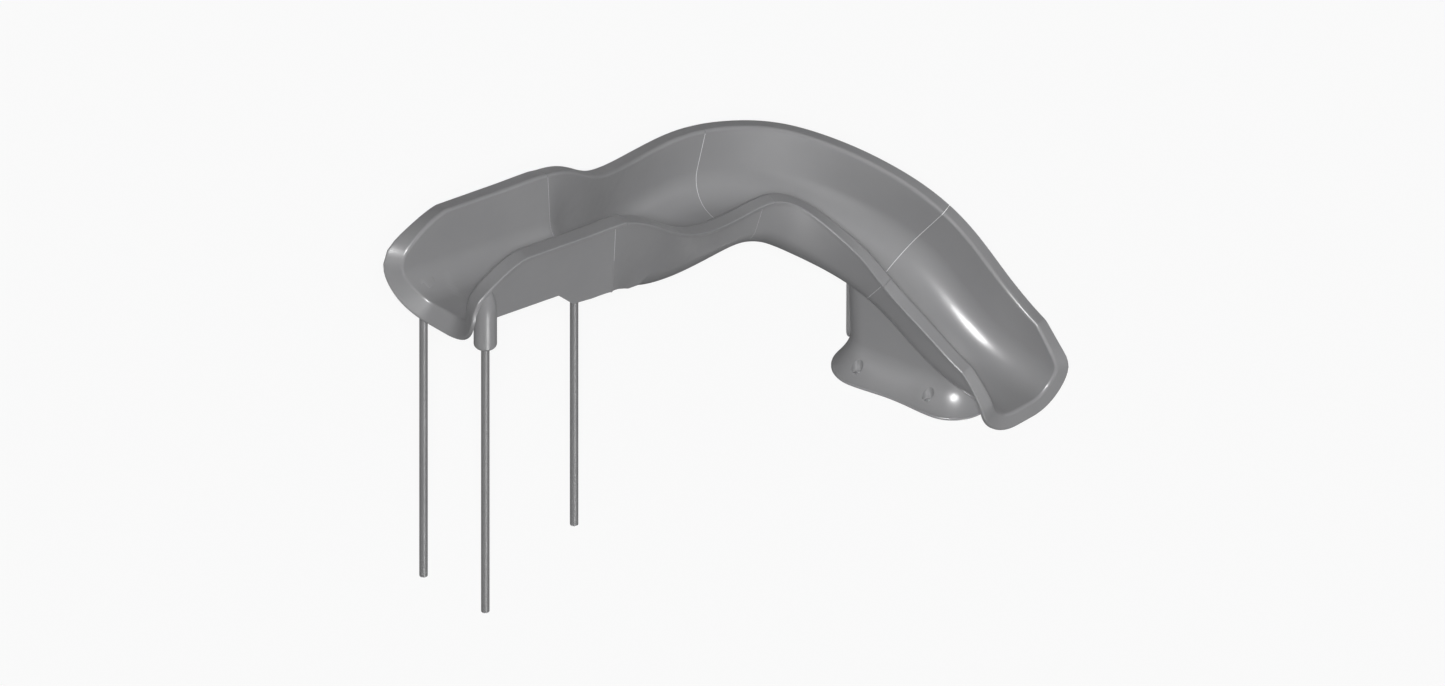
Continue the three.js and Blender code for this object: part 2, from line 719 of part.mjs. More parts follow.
// A hex bolt whose head clamps at height 0 and whose shank runs up from there. With a nut the
// shank runs through the grip; without one it ends there.
function boltOutline(shank, grip, { nut = true, washer = shank * 2.2 } = {}) {
  const head = shank * 1.75;
  const thin = shank * 0.4;
  const low = -CLEARANCE;
  const high = grip + CLEARANCE;
  const below = [
    [0, low - thin - shank * 1.3], [head, low - thin - shank * 1.3], [head, low - thin],
    [washer, low - thin], [washer, low], [shank, low],
  ];
  const above = nut
    ? [
      [shank, high], [washer, high], [washer, high + thin], [head, high + thin],
      [head, high + thin + shank * 1.6], [0, high + thin + shank * 1.6],
    ]
    : [[shank, grip], [0, grip]];
  return [...below, ...above];
}

const JOINT_BOLT_RADIUS = 4;
const JOINT_BOLTS = [
  { along: JOINT_1, sides: [-160, -80, 80, 160], below: SKIN + 28, plate: BOX_SKIN },
  { along: JOINT_2, sides: [-95, 0, 95], below: SKIN + 24, plate: JOINT_FLANGE.thickness },
  { along: JOINT_3, sides: [-95, 0, 95], below: SKIN + 24, plate: JOINT_FLANGE.thickness },
];

function jointBolt({ along, below, plate }, side, slack = 0) {
  const frame = frameAt(along);
  const grip = 2 * (plate + HALF_JOINT) + slack;
  const place = inFrame(frame, side, -frame.depth - below).addScaledVector(frame.ahead, -grip / 2);
  return { place, direction: frame.ahead, grip };
}

const jointBoltHoles = (joint) =>
  joint.sides.map((side) => {
    const { place, direction, grip } = jointBolt(joint, side, 8);
    return solid(laid(rod(JOINT_BOLT_RADIUS + HOLE_PLAY, 0, grip, HOLE_SIDES), direction, place));
  });

const FRONT_BOLT_HEIGHT = 1896;
const REAR_BOLT_HEIGHT = 1758;

// Poles, each with the radius of its socket and with its set bolt: the height, and the side of
// the socket it comes from.
const POLES = [
  {
    name: "front_left", x: 0, y: FRONT_POLE_Y, top: FRONT_POLE_TOP,
    socket: BOSS_RADIUS, bolt: FRONT_BOLT_HEIGHT, side: 1,
  },
  {
    name: "front_right", x: 0, y: -FRONT_POLE_Y, top: FRONT_POLE_TOP,
    socket: BOSS_RADIUS, bolt: FRONT_BOLT_HEIGHT, side: 1,
  },
  {
    name: "rear", x: REAR_POLE_X, y: 0, top: REAR_POLE_TOP,
    socket: REAR_BOSS_RADIUS, bolt: REAR_BOLT_HEIGHT, side: -1,
  },
];
const SET_BOLT_RADIUS = 4;
const SET_BOLT_TIP = 15; // from the pole axis

const setBoltPlace = ({ x, y, socket, bolt, side }, out = 0) => ({
  place: new THREE.Vector3(x + side * (socket + out), y, bolt),
  direction: new THREE.Vector3(-side, 0, 0),
  reach: socket + out - SET_BOLT_TIP,
});

function setBoltHole(pole) {
  const { place, direction, reach } = setBoltPlace(pole, 5);
  return solid(laid(rod(SET_BOLT_RADIUS + HOLE_PLAY, 0, reach + 3, HOLE_SIDES), direction, place));
}

// A place on the flat strip between two neighbouring cross-sections of the floor, a distance
// below its inside, and the direction square to the strip.
function floorPlace([from, to], side, below) {
  const [a, b] = [from, to].map((along) => {
    const frame = frameAt(along);
    return inFrame(frame, side, -frame.depth);
  });
  const { across } = frameAt((from + to) / 2);
  const direction = across.clone().cross(b.clone().sub(a)).normalize();
  return { direction, place: a.lerp(b, 0.5).addScaledVector(direction, -below) };
}

const strip = (from, to, rows, k) => spread(from, to, rows).slice(k, k + 2);

// Bolts that hold the flume down on the pedestal, from inside the pedestal.
const SADDLE_STRIPS = [
  strip(beside(JOINT_2, HALF_JOINT), beside(JOINT_3, -HALF_JOINT), CURVE_ROWS, 7),
  strip(beside(JOINT_3, HALF_JOINT), FLUME_END, EXIT_ROWS, 2),
];
const SADDLE_BOLTS = SADDLE_STRIPS.flatMap((ends) => [-55, 55].map((side) => ({ ends, side })));
const SADDLE_BOSS = { radius: 17, length: SKIN + 7.5 };
const SADDLE_PAD = { radius: 28, web: 4, seat: SADDLE_BOSS.length + CLEARANCE };
const SADDLE_SHANK = 5;
const BLIND_END = 2.5; // skin left above a blind hole

// A rod square to the floor at a saddle bolt, from one distance below the floor to another.
function saddleRod({ ends, side }, radius, below, above, sides = 12) {
  const { place, direction } = floorPlace(ends, side, below);
  return solid(laid(rod(radius, 0, below - above, sides), direction, place));
}

const saddleBosses = (from, to) =>
  SADDLE_BOLTS.filter(({ ends }) => ends[0] > from - 1 && ends[1] < to + 1)
    .map((bolt) => saddleRod(bolt, SADDLE_BOSS.radius, SADDLE_BOSS.length, SKIN / 2));

const saddleHoles = (below, above) =>
  SADDLE_BOLTS.map((bolt) => saddleRod(bolt, SADDLE_SHANK + HOLE_PLAY, below, above, HOLE_SIDES));

// Blind holes in the flume that the saddle bolts screw into.
const saddleInserts = () => saddleHoles(SADDLE_BOSS.length * 3, BLIND_END);

// Water outlet through the entry floor.
const WATER_STRIP = strip(0, beside(JOINT_1, -HALF_JOINT), ENTRY_ROWS, 4);
const WATER_HOLE = 13.5;
const waterHole = () => {
  const { place, direction } = floorPlace(WATER_STRIP, 0, 0);
  return solid(laid(rod(WATER_HOLE, -30, 30, 16), direction, place));
};

// ---- pedestal ----

// Rounded rectangle with waisted long sides, as a ring of points in the pedestal's own plan.
// The uphill corner under the outer bank has its own radius, so it stays below the flume.
function pedestalRing({ halfLength, halfWidth, corner, outerCorner, waist }, height) {
  const steps = 6;
  const ring = [];
  const corners = [[1, 1, corner], [-1, 1, outerCorner], [-1, -1, corner], [1, -1, corner]];
  corners.forEach(([sx, sy, radius], k) => {
    for (let i = 0; i <= steps; i += 1) {
      const angle = THREE.MathUtils.degToRad(90 * (k + i / steps));
      const x = sx * (halfLength - radius) + radius * Math.cos(angle);
      const y = sy * (halfWidth - radius) + radius * Math.sin(angle);
      ring.push([x, y]);
    }
    if (k % 2 === 0) {
      const next = corners[k + 1][2];
      ring.push([(sx * (next - radius)) / 2, sy * (halfWidth - waist)]);
    }
  });
  const [c, s] = [Math.cos(PEDESTAL.heading), Math.sin(PEDESTAL.heading)];
  return ring.map(([x, y]) =>
    new THREE.Vector3(PEDESTAL.x + x * c - y * s, PEDESTAL.y + x * s + y * c, height));
}

function pedestalLoft(inset, bottom) {
  const leg = (z) => {
    const grow = LEG.spread * Math.max(z - FLARE_HEIGHT, 0);
    return {
      halfLength: LEG.halfLength + grow * 0.5 - inset,
      halfWidth: LEG.halfWidth + grow - inset,
      corner: LEG.corner - inset,
      outerCorner: LEG.outerCorner - inset,
      waist: 0,
    };
  };
  const mix = (share, z) => {
    const from = leg(z);
    return Object.fromEntries(Object.keys(from).map((key) =>
      [key, THREE.MathUtils.lerp(from[key], FOOT[key] - (key === "waist" ? 0 : inset), share)]));
  };
  const rings = [pedestalRing(mix(1, 0), bottom), pedestalRing(mix(1, 0), FOOT.thickness - inset)];
  for (const t of [0.06, 0.2, 0.4, 0.65, 1]) {
    const z = FOOT.thickness + t * (FLARE_HEIGHT - FOOT.thickness);
    rings.push(pedestalRing(mix((1 - t) ** 2.4 * 0.97, z), z - inset * 0.7));
  }
  rings.push(pedestalRing(leg(PEDESTAL_TOP / 2), PEDESTAL_TOP / 2));
  rings.push(pedestalRing(leg(PEDESTAL_TOP), PEDESTAL_TOP));
  return solid(lofted(rings));
}

function anchorPlaces() {
  const [c, s] = [Math.cos(PEDESTAL.heading), Math.sin(PEDESTAL.heading)];
  return ANCHOR.alongs.flatMap((x) => [-ANCHOR.across, ANCHOR.across].map((y) =>
    [PEDESTAL.x + x * c - y * s, PEDESTAL.y + x * s + y * c]));
}

function pedestal() {
  // Everything from the underside of the flume upwards, as one block. It shares its
  // cross-sections with the flume so that the two surfaces stay parallel.
  const alongs = [
    ...spread(beside(JOINT_2, HALF_JOINT), beside(JOINT_3, -HALF_JOINT), CURVE_ROWS),
    ...spread(beside(JOINT_3, HALF_JOINT), FLUME_END, EXIT_ROWS),
  ].filter((along) => along > PEDESTAL_START);
  const above = (offset) =>
    solid(lofted(alongs.map((along) => {
      const frame = frameAt(along);
      const low = -frame.depth + FLOOR_CORNER - offset;
      const under = troughProfile(frame.width, frame.depth, offset).filter(([, z]) => z < low);
      const sides = [
        [CUT_REACH, low], [CUT_REACH, CUT_HEIGHT], [-CUT_REACH, CUT_HEIGHT], [-CUT_REACH, low],
      ];
      return [...sides, ...under].map(([y, z]) => inFrame(frame, y, z));
    })));
  const clear = SKIN + SADDLE_GAP;
  const columns = anchorPlaces().map(([x, y]) =>
    placedSolid(rod(ANCHOR.pocket + PEDESTAL_SKIN, 0, 120, 16), x, y));
  const outer = pedestalLoft(0, 0);
  const body = outer.subtract(above(clear));
  const hollow = pedestalLoft(PEDESTAL_SKIN, -10)
    .subtract(above(clear + PEDESTAL_SKIN))
    .subtract(joined(columns));
  const cuts = anchorPlaces().flatMap(([x, y]) => [
    placedSolid(rod(ANCHOR.pocket, ANCHOR.seat, 200, 16), x, y),
    placedSolid(rod(ANCHOR.hole, -5, 60, 12), x, y),
  ]);
  const slots = [-1, 1].map((side) =>
    jointFlange(beside(JOINT_3, side * HALF_JOINT), side, SLOT_PLAY));
  const pads = SADDLE_BOLTS.map((bolt) =>
    saddleRod(bolt, SADDLE_PAD.radius, SADDLE_PAD.seat + SADDLE_PAD.web, clear + 3));
  const saddles = [
    ...SADDLE_BOLTS.map((bolt) => saddleRod(bolt, SADDLE_BOSS.radius + 1.5, SADDLE_PAD.seat, 0)),
    ...saddleHoles(SADDLE_PAD.seat * 4, 0),
  ];
  return body.subtract(hollow).add(joined(pads)).subtract(joined([...cuts, ...slots, ...saddles]));
}

// ---- assembly ----

const group = new THREE.Group();

function add(name, geometry, material) {
  const mesh = new THREE.Mesh(geometry, material);
  mesh.name = name;
  group.add(mesh);
  return mesh;
}

add("entry_section", geometryFromSolid(entrySection()), materials.moulding());
add("middle_section", geometryFromSolid(middleSection()), materials.moulding());
add("curve_section", geometryFromSolid(curveSection()), materials.moulding());
add("exit_section", geometryFromSolid(exitSection()), materials.moulding());
add("pedestal", geometryFromSolid(pedestal()), materials.moulding());

// Soft seals between the section ends.
[JOINT_1, JOINT_2, JOINT_3].forEach((along, i) => {
  const half = JOINT_SEAL / 2;
  const rows = (offset) => [-half, half].map((gap) => troughLine(beside(along, gap), offset));
  add(`joint_seal_${i + 1}`, solidBetween(rows(0.4), rows(SKIN - 0.4)), materials.rubber());
});

JOINT_BOLTS.forEach((joint, i) => {
  joint.sides.forEach((side, k) => {
    const { place, direction, grip } = jointBolt(joint, side);
    add(`joint_${i + 1}_bolt_${k + 1}`,
      laid(turned(boltOutline(JOINT_BOLT_RADIUS, grip), HEX), direction, place), materials.stainless());
  });
});

for (const pole of POLES) {
  const { name, x, y, top } = pole;
  const outer = POLE_DIAMETER / 2;
  const inner = outer - POLE_WALL;
  const bottom = PLUG_FLANGE + CLEARANCE;
  const tube = placedSolid(
    turned([[inner, bottom], [outer, bottom], [outer, top], [inner, top], [inner, bottom]]), x, y);
  add(`pole_${name}`, geometryFromSolid(tube.subtract(setBoltHole(pole))), materials.pole());
  const plug = turned([
    [0, 0], [outer - 0.4, 0], [outer - 0.4, PLUG_FLANGE], [inner - CLEARANCE, PLUG_FLANGE],
    [inner - CLEARANCE, 26], [0, 26],
  ]);
  add(`pole_plug_${name}`, plug.translate(x, y, 0), materials.rubber());
  const { place, direction, reach } = setBoltPlace(pole);
  const bolt = turned(boltOutline(SET_BOLT_RADIUS, reach, { nut: false }), HEX);
  add(`pole_bolt_${name}`, laid(bolt, direction, place), materials.stainless());
}

SADDLE_BOLTS.forEach(({ ends, side }, i) => {
  const clamp = SADDLE_PAD.seat + SADDLE_PAD.web;
  const { place, direction } = floorPlace(ends, side, clamp);
  const outline = boltOutline(SADDLE_SHANK, clamp - 4.5, { nut: false, washer: 20 });
  add(`saddle_bolt_${i + 1}`, laid(turned(outline, 12), direction, place), materials.stainless());
});

// Washers and anchor bolts in the pockets of the pedestal foot.
anchorPlaces().forEach(([x, y], i) => {
  const { seat, hole } = ANCHOR;
  const low = seat + CLEARANCE;
  const high = low + WASHER.thickness;
  const washer = turned([
    [hole, low], [WASHER.radius, low], [WASHER.radius, high], [hole, high], [hole, low],
  ], 16);
  add(`pedestal_washer_${i + 1}`, washer.translate(x, y, 0), materials.stainless());
  const under = high + CLEARANCE;
  const bolt = turned([
    [0, 1], [hole - 1, 1], [hole - 1, under], [ANCHOR_HEAD.radius, under],
    [ANCHOR_HEAD.radius, under + ANCHOR_HEAD.height], [0, under + ANCHOR_HEAD.height],
  ], HEX);
  add(`pedestal_anchor_bolt_${i + 1}`, bolt.translate(x, y, 0), materials.stainless());
});

// Water outlet: nozzle through the floor, gasket and locknut under it, hose barb at its foot.
{
  const { place, direction } = floorPlace(WATER_STRIP, 0, 0);
  const bore = 6;
  const under = -SKIN - CLEARANCE;
  const ring = (inner, outer, low, high) =>
    [[inner, low], [outer, low], [outer, high], [inner, high], [inner, low]];
  const barb = [[8, -80], [9.5, -74], [8, -73], [9.5, -66], [8, -65], [9.5, -58], [8, -57], [8, -52]];
  const pieces = [
    ["water_nozzle", [
      [bore, -42], [12.8, -42], [12.8, CLEARANCE], [22, CLEARANCE],
      [22, 4], [14, 12], [bore, 12], [bore, -42],
    ], 16, materials.fitting()],
    ["nozzle_gasket", ring(13.2, 20, under - 2, under), 16, materials.rubber()],
    ["nozzle_locknut", ring(15.2, 22, under - 12.3, under - 2.3), HEX, materials.fitting()],
    ["hose_barb", [
      [bore, -80], ...barb, [13, -52], [13, -42.3], [bore, -42.3], [bore, -80],
    ], 16, materials.fitting()],
  ];
  for (const [name, outline, sides, material] of pieces) {
    add(name, laid(turned(outline, sides), direction, place), material);
  }
}

// The part's own frame stands at the middle of its footprint.
const box = new THREE.Box3().setFromObject(group);
const middle = box.getCenter(new THREE.Vector3());
for (const mesh of group.children) mesh.geometry.translate(-middle.x, -middle.y, 0);

export default group;
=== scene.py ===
"""Pool slide: finely made skins, materials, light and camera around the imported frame.

The flume is remade from the same driving dimensions as the CAD part, with many more
cross-sections, so that its surfaces read as one smooth moulding.
"""

import json
import math

import bmesh
import bpy
import numpy as np
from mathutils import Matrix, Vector


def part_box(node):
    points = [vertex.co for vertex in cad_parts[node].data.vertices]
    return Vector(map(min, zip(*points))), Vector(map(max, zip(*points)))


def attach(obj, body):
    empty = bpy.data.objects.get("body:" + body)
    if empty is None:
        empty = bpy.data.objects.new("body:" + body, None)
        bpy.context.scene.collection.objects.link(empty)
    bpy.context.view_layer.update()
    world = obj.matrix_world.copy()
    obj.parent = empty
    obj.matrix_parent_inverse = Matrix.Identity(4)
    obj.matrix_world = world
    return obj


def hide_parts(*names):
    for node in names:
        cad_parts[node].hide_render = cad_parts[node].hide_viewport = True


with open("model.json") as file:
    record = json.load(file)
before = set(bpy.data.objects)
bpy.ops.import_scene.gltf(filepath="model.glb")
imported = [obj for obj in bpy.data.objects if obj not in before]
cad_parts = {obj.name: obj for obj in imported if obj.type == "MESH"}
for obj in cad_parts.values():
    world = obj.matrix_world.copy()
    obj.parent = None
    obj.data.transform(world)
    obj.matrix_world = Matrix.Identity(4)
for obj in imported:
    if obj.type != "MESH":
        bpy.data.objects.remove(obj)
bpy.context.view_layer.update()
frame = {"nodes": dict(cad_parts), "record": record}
NODES = frame["nodes"]

# ---- driving dimensions, in millimetres, the same as the CAD part's ----

RIM_HEIGHT = 2474.0
JOINTS = (1025.0, 2530.0, 3610.0)
FLUME_END = 4325.0

# Plan distance from the front poles, heading, fall, bank, lean, inside width, inside depth.
ROUTE = np.array([
    (-300, 0, 11, 0, 0, 545, 462),
    (600, 0, 11, 0, 0, 545, 462),
    (950, 0, 11, 0, 0, 545, 475),
    (1025, 0, 20, 0, 0, 545, 490),
    (1355, 10, 38, 10, 14, 575, 500),
    (1685, 17, 26, 13, 16, 600, 465),
    (2015, 13, 15, 11, 12, 620, 445),
    (2345, 1, 7, 8, 9, 630, 435),
    (2675, -19, 18, 5, 15, 625, 440),
    (3005, -34, 34, 9, 28, 605, 455),
    (3335, -47, 39, 15, 34, 580, 460),
    (3665, -72, 41, 13, 36, 560, 460),
    (3995, -83, 36, 4, 30, 540, 420),
    (4325, -90, 15, 1, 12, 515, 325),
], float)

SKIN = 7.0
WALL_DRAFT = math.radians(3)
FLOOR_CORNER = 185.0
RIM_RADIUS = 20.0
RIM_RETURN = 14.0
ENTRY_RIM_FLANGE = 92.0
RIM_FLANGE = 76.0
RIM_DROOP = math.radians(9)
ENTRY_LIP = dict(at=0.0, sign=-1, floor=68, nose=150, crest=-230, flange=118, flare=29)
EXIT_LIP = dict(at=FLUME_END, sign=1, floor=72, nose=66, crest=-110, flange=92, flare=8)
LIP_SHARE = 0.34
LIP_BLEND = 0.7
NOSE_LEVEL = 0.45
NOSE_POWER = 1.4

CLEARANCE = 0.3
JOINT_SEAL = 2.4
HALF_JOINT = JOINT_SEAL / 2 + CLEARANCE

FRONT_POLE_Y = 249.0
REAR_POLE_X = 965.0
SOCKET_BORE = 25.0
FRONT_SOCKET = dict(radius=67, bottom=1850, top=2275, cone=160, bore_top=2005)
REAR_SOCKET = dict(radius=50, bottom=1722, top=1900, cone=20, bore_top=1795)
SKIRT_START = -42.0
SKIRT_DEPTH = 447.0
BOX_START = 585.0
BOX_DEPTH = 556.0
MIDDLE_BOX_END = 1470.0
MIDDLE_BOX_DEPTH = 549.0
BOX_SKIN = 9.0
PLATE_HALF = 140.0
PLATE_DROP = 42.0
PLATE_THICKNESS = 9.0
PLATE_CORNER = 18.0

PEDESTAL = (3458.0, -340.0, math.radians(-79))
FOOT = dict(length=512, width=368, corner=235, outer=235, waist=16)
LEG = dict(length=452, width=205, corner=160, outer=345, waist=0)
FOOT_THICKNESS = 14.0
FOOT_EDGE = 9.0
LEG_SPREAD = 0.03
FLARE_HEIGHT = 190.0
PEDESTAL_SKIN = 8.0
PEDESTAL_TOP = 1250.0
PEDESTAL_START = 2740.0
SADDLE_GAP = 1.0
ANCHOR = dict(alongs=(-286, 200), across=271, pocket=34, seat=16, hole=7)

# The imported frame's origin is the middle of its box; here the front poles are the origin.
low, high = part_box("pole_front_left")
SHIFT = Vector(((low.x + high.x) / 2, (low.y + high.y) / 2 - FRONT_POLE_Y / 1000, 0))


# ---- the route ----

def route_value(column, along):
    """One column of the route, smoothed between its stations, at a plan distance."""
    stations = ROUTE[:, 0]
    last = len(ROUTE) - 1
    i = int(np.clip(np.searchsorted(stations, along, side="right") - 1, 0, last - 1))

    def slope(k):
        after, before = ROUTE[min(k + 1, last)], ROUTE[max(k - 1, 0)]
        return (after[column] - before[column]) / (after[0] - before[0])

    span = stations[i + 1] - stations[i]
    t = (along - stations[i]) / span
    return (
        (2 * t ** 3 - 3 * t ** 2 + 1) * ROUTE[i, column]
        + (t ** 3 - 2 * t ** 2 + t) * span * slope(i)
        + (3 * t ** 2 - 2 * t ** 3) * ROUTE[i + 1, column]
        + (t ** 3 - t ** 2) * span * slope(i + 1)
    )


STEP = 5.0
START = ROUTE[0, 0]
line = [Vector((START, 0, RIM_HEIGHT - START * math.tan(math.radians(ROUTE[0, 2]))))]
for n in range(int((FLUME_END + 200 - START) / STEP)):
    middle = START + (n + 0.5) * STEP
    turn = math.radians(route_value(1, middle))
    drop = math.tan(math.radians(route_value(2, middle)))
    line.append(line[-1] + STEP * Vector((math.cos(turn), math.sin(turn), -drop)))

frames = {}


def frame_at(along):
    """Origin, ahead, across to the right, up, width and depth of the section at a distance."""
    key = round(along, 3)
    if key in frames:
        return frames[key]
    place = (along - START) / STEP
    i = min(int(place), len(line) - 2)
    origin = line[i].lerp(line[i + 1], place - i)
    heading, bank, lean = (math.radians(route_value(c, along)) for c in (1, 3, 4))
    right = Vector((math.sin(heading), -math.cos(heading), 0))
    level = Vector((math.cos(heading), math.sin(heading), 0))
    z = Vector((0, 0, 1))
    ahead = level * math.cos(lean) - z * math.sin(lean)
    steep = z * math.cos(lean) + level * math.sin(lean)
    across = right * math.cos(bank) - steep * math.sin(bank)
    up = steep * math.cos(bank) + right * math.sin(bank)
    frames[key] = (origin, ahead, across, up, route_value(5, along), route_value(6, along))
    return frames[key]


def in_frame(section, y, z):
    """A point of a section from its distances across and up."""
    return section[0] + section[2] * y + section[3] * z


def beside(joint, gap):
    """Plan distance of the section plane that stands a gap away from a joint, square to it."""
    lean = math.radians(route_value(4, joint))
    fall = math.radians(route_value(2, joint))
    return joint + gap / (math.cos(lean) + math.tan(fall) * math.sin(lean))


# ---- the trough's section ----

PLAIN_WALL = (0, 0.06, 0.2, 0.4, 0.6, 0.8)
LIP_WALL = (0, 0.004, 0.012, 0.024, 0.042, 0.066, 0.1, 0.145, 0.2, 0.28, 0.38, 0.5, 0.64, 0.8)
CORNER_STEPS = 16
FLOOR_STEPS = 4
FIRST_SIZE = (545, 462)


def trough_profile(width, depth, offset=0.0, wall=PLAIN_WALL):
    """Inside of the trough from wall top to wall top, or that line moved outwards."""
    radius = FLOOR_CORNER + offset
    centre_z = FLOOR_CORNER - depth

    def wall_y(z):
        return width / 2 + z * math.tan(WALL_DRAFT) + offset / math.cos(WALL_DRAFT)

    wall_end = centre_z - radius * math.sin(WALL_DRAFT)
    centre_y = wall_y(wall_end) - radius * math.cos(WALL_DRAFT)
    half = []
    for share in wall:
        z = -RIM_RADIUS + (wall_end + RIM_RADIUS) * share
        half.append((wall_y(z), z))
    for i in range(CORNER_STEPS + 1):
        angle = -WALL_DRAFT + (WALL_DRAFT - math.pi / 2) * i / CORNER_STEPS
        half.append((centre_y + radius * math.cos(angle), centre_z + radius * math.sin(angle)))
    for i in range(1, FLOOR_STEPS + 1):
        half.append((centre_y * (1 - i / FLOOR_STEPS), -depth - offset))
    return [(-y, z) for y, z in half] + half[-2::-1]


# ---- meshes ----

SHARP_ANGLE = 35
CAD_SHARP_ANGLE = 40
PEDESTAL_SHARP_ANGLE = 28
TURNED_SIDES = 64


def new_object(name, points, faces):
    """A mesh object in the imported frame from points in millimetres."""
    mesh = bpy.data.meshes.new(name)
    mesh.from_pydata([Vector(p) / 1000 + SHIFT for p in points], [], faces)
    mesh.validate()
    piece = bpy.data.objects.new(name, mesh)
    bpy.context.scene.collection.objects.link(piece)
    face_outwards(piece)
    smooth_shade(piece, SHARP_ANGLE)
    return piece


def face_outwards(piece):
    bm = bmesh.new()
    bm.from_mesh(piece.data)
    bmesh.ops.remove_doubles(bm, verts=bm.verts, dist=1e-6)
    bmesh.ops.recalc_face_normals(bm, faces=bm.faces)
    bm.to_mesh(piece.data)
    bm.free()


def smooth_shade(piece, angle):
    piece.data.polygons.foreach_set("use_smooth", [True] * len(piece.data.polygons))
    piece.data.set_sharp_from_angle(angle=math.radians(angle))


def skin_normals(points, quads):
    """Unit normals at the points, averaged over the quads round each."""
    points = np.array(points, float)
    quads = np.array(quads)
    a, b, c, d = (points[quads[:, k]] for k in range(4))
    face = np.cross(c - a, d - b)
    face /= np.linalg.norm(face, axis=1)[:, None] + 1e-12
    normals = np.zeros_like(points)
    for k in range(4):
        np.add.at(normals, quads[:, k], face)
    return normals / (np.linalg.norm(normals, axis=1)[:, None] + 1e-12)


def thickened(points, quads, offsets):
    """Points and faces of a closed skin between the points and the same points moved off."""
    points = np.array(points, float)
    count = len(points)
    faces = []
    edges = {}
    for quad in quads:
        faces.append(tuple(quad))
        faces.append(tuple(i + count for i in reversed(quad)))
        for k in range(4):
            a, b = quad[k], quad[(k + 1) % 4]
            if (b, a) in edges:
                del edges[(b, a)]
            else:
                edges[(a, b)] = True
    for a, b in edges:
        faces.append((b, a, a + count, b + count))
    return np.vstack([points, points + offsets]), faces


def lofted(rings):
    """Points and faces of a closed solid through rings of points."""
    count = len(rings[0])
    points = [p for ring in rings for p in ring]
    faces = []
    for i in range(len(rings) - 1):
        for j in range(count):
            k = (j + 1) % count
            a = i * count
            faces.append((a + j, a + k, a + count + k, a + count + j))
    faces.append(tuple(range(count))[::-1])
    faces.append(tuple(range((len(rings) - 1) * count, len(rings) * count)))
    return points, faces


def turned(outline, x, y):
    """Points and faces of a turned solid: outline of (radius, height) that closes on itself or
    runs from axis to axis."""
    points = []
    for radius, height in outline:
        for k in range(TURNED_SIDES):
            angle = 2 * math.pi * k / TURNED_SIDES
            points.append((x + radius * math.cos(angle), y + radius * math.sin(angle), height))
    faces = []
    for i in range(len(outline) - 1):
        near, far = i * TURNED_SIDES, (i + 1) * TURNED_SIDES
        for k in range(TURNED_SIDES):
            n = (k + 1) % TURNED_SIDES
            faces.append((near + k, near + n, far + n, far + k))
    return points, faces


def joined(parts):
    """One list of points and one of faces from several."""
    points, faces = [], []
    for more_points, more_faces in parts:
        base = len(points)
        points.extend(Vector(p) for p in more_points)
        faces.extend(tuple(i + base for i in face) for face in more_faces)
    return points, faces


def cut(piece, cutter):
    """Cut one object out of another and delete the cutter."""
    modifier = piece.modifiers.new("cut", "BOOLEAN")
    modifier.object = cutter
    modifier.operation = "DIFFERENCE"
    modifier.solver = "MANIFOLD"
    bpy.context.view_layer.update()
    graph = bpy.context.evaluated_depsgraph_get()
    mesh = bpy.data.meshes.new_from_object(piece.evaluated_get(graph))
    piece.modifiers.clear()
    piece.data = mesh
    bpy.data.objects.remove(cutter)


# ---- flume skins ----

def smooth_step(t):
    t = min(max(t, 0.0), 1.0)
    return t * t * (3 - 2 * t)


def lip_reach(lip, level):
    """How far a lip's edge stands beyond its end. level is 0 at the floor and 1 at the rim."""
    if level < NOSE_LEVEL:
        t = 1 - level / NOSE_LEVEL
        return lip["nose"] + (lip["floor"] - lip["nose"]) * t * t
    t = min((level - NOSE_LEVEL) / (1 - NOSE_LEVEL), 1)
    back = 1 - (1 - t ** NOSE_POWER) ** (1 / NOSE_POWER)
    return lip["nose"] + (lip["crest"] - lip["nose"]) * back


FILLET_STEPS = 6
EDGE_BEND = 9.0
EDGE_STEPS = 5
EDGE_TURN = math.radians(95)


def flange_points(edge, beyond, outwards, width, lean):
    """Points from a wall's top over the rolled edge, the flat and the turned-down edge."""
    turn = math.pi / 2 - lean
    points = []

    def at(b, o):
        return edge + beyond * b + outwards * o

    for i in range(1, FILLET_STEPS + 1):
        angle = turn * i / FILLET_STEPS
        points.append(at(RIM_RADIUS * math.sin(angle), RIM_RADIUS * (1 - math.cos(angle))))
    flat = width - RIM_RADIUS
    b, o = RIM_RADIUS * math.sin(turn), RIM_RADIUS * (1 - math.cos(turn))
    db, do = math.cos(turn), math.sin(turn)
    for share in (0.08, 0.5, 0.92, 1.0):
        points.append(at(b + db * flat * share, o + do * flat * share))
    for i in range(1, EDGE_STEPS + 1):
        angle = EDGE_TURN * i / EDGE_STEPS
        forward = flat + EDGE_BEND * math.sin(angle)
        down = EDGE_BEND * (1 - math.cos(angle))
        points.append(at(b + db * forward - do * down, o + do * forward + db * down))
    down = EDGE_BEND + RIM_RETURN
    forward = flat + EDGE_BEND
    points.append(at(b + db * forward - do * down, o + do * forward + db * down))
    return points


def rim_flange(along):
    """Width of the rim's flange, narrower after the entry."""
    share = smooth_step((along - JOINTS[0] + 100) / 500)
    return ENTRY_RIM_FLANGE + (RIM_FLANGE - ENTRY_RIM_FLANGE) * share


ENTRY_STEP = dict(at=105, bow=60, half_width=230, height=7.0, run=26)
STEP_FROM = 0.7
STEP_FADE = 0.2


def entry_step(along, y):
    """A shallow step that crosses the entry floor in a crescent."""
    edge = ENTRY_STEP["at"] + ENTRY_STEP["bow"] * (y / ENTRY_STEP["half_width"]) ** 2
    return ENTRY_STEP["height"] * (1 - smooth_step((along - edge) / ENTRY_STEP["run"] + 0.5))


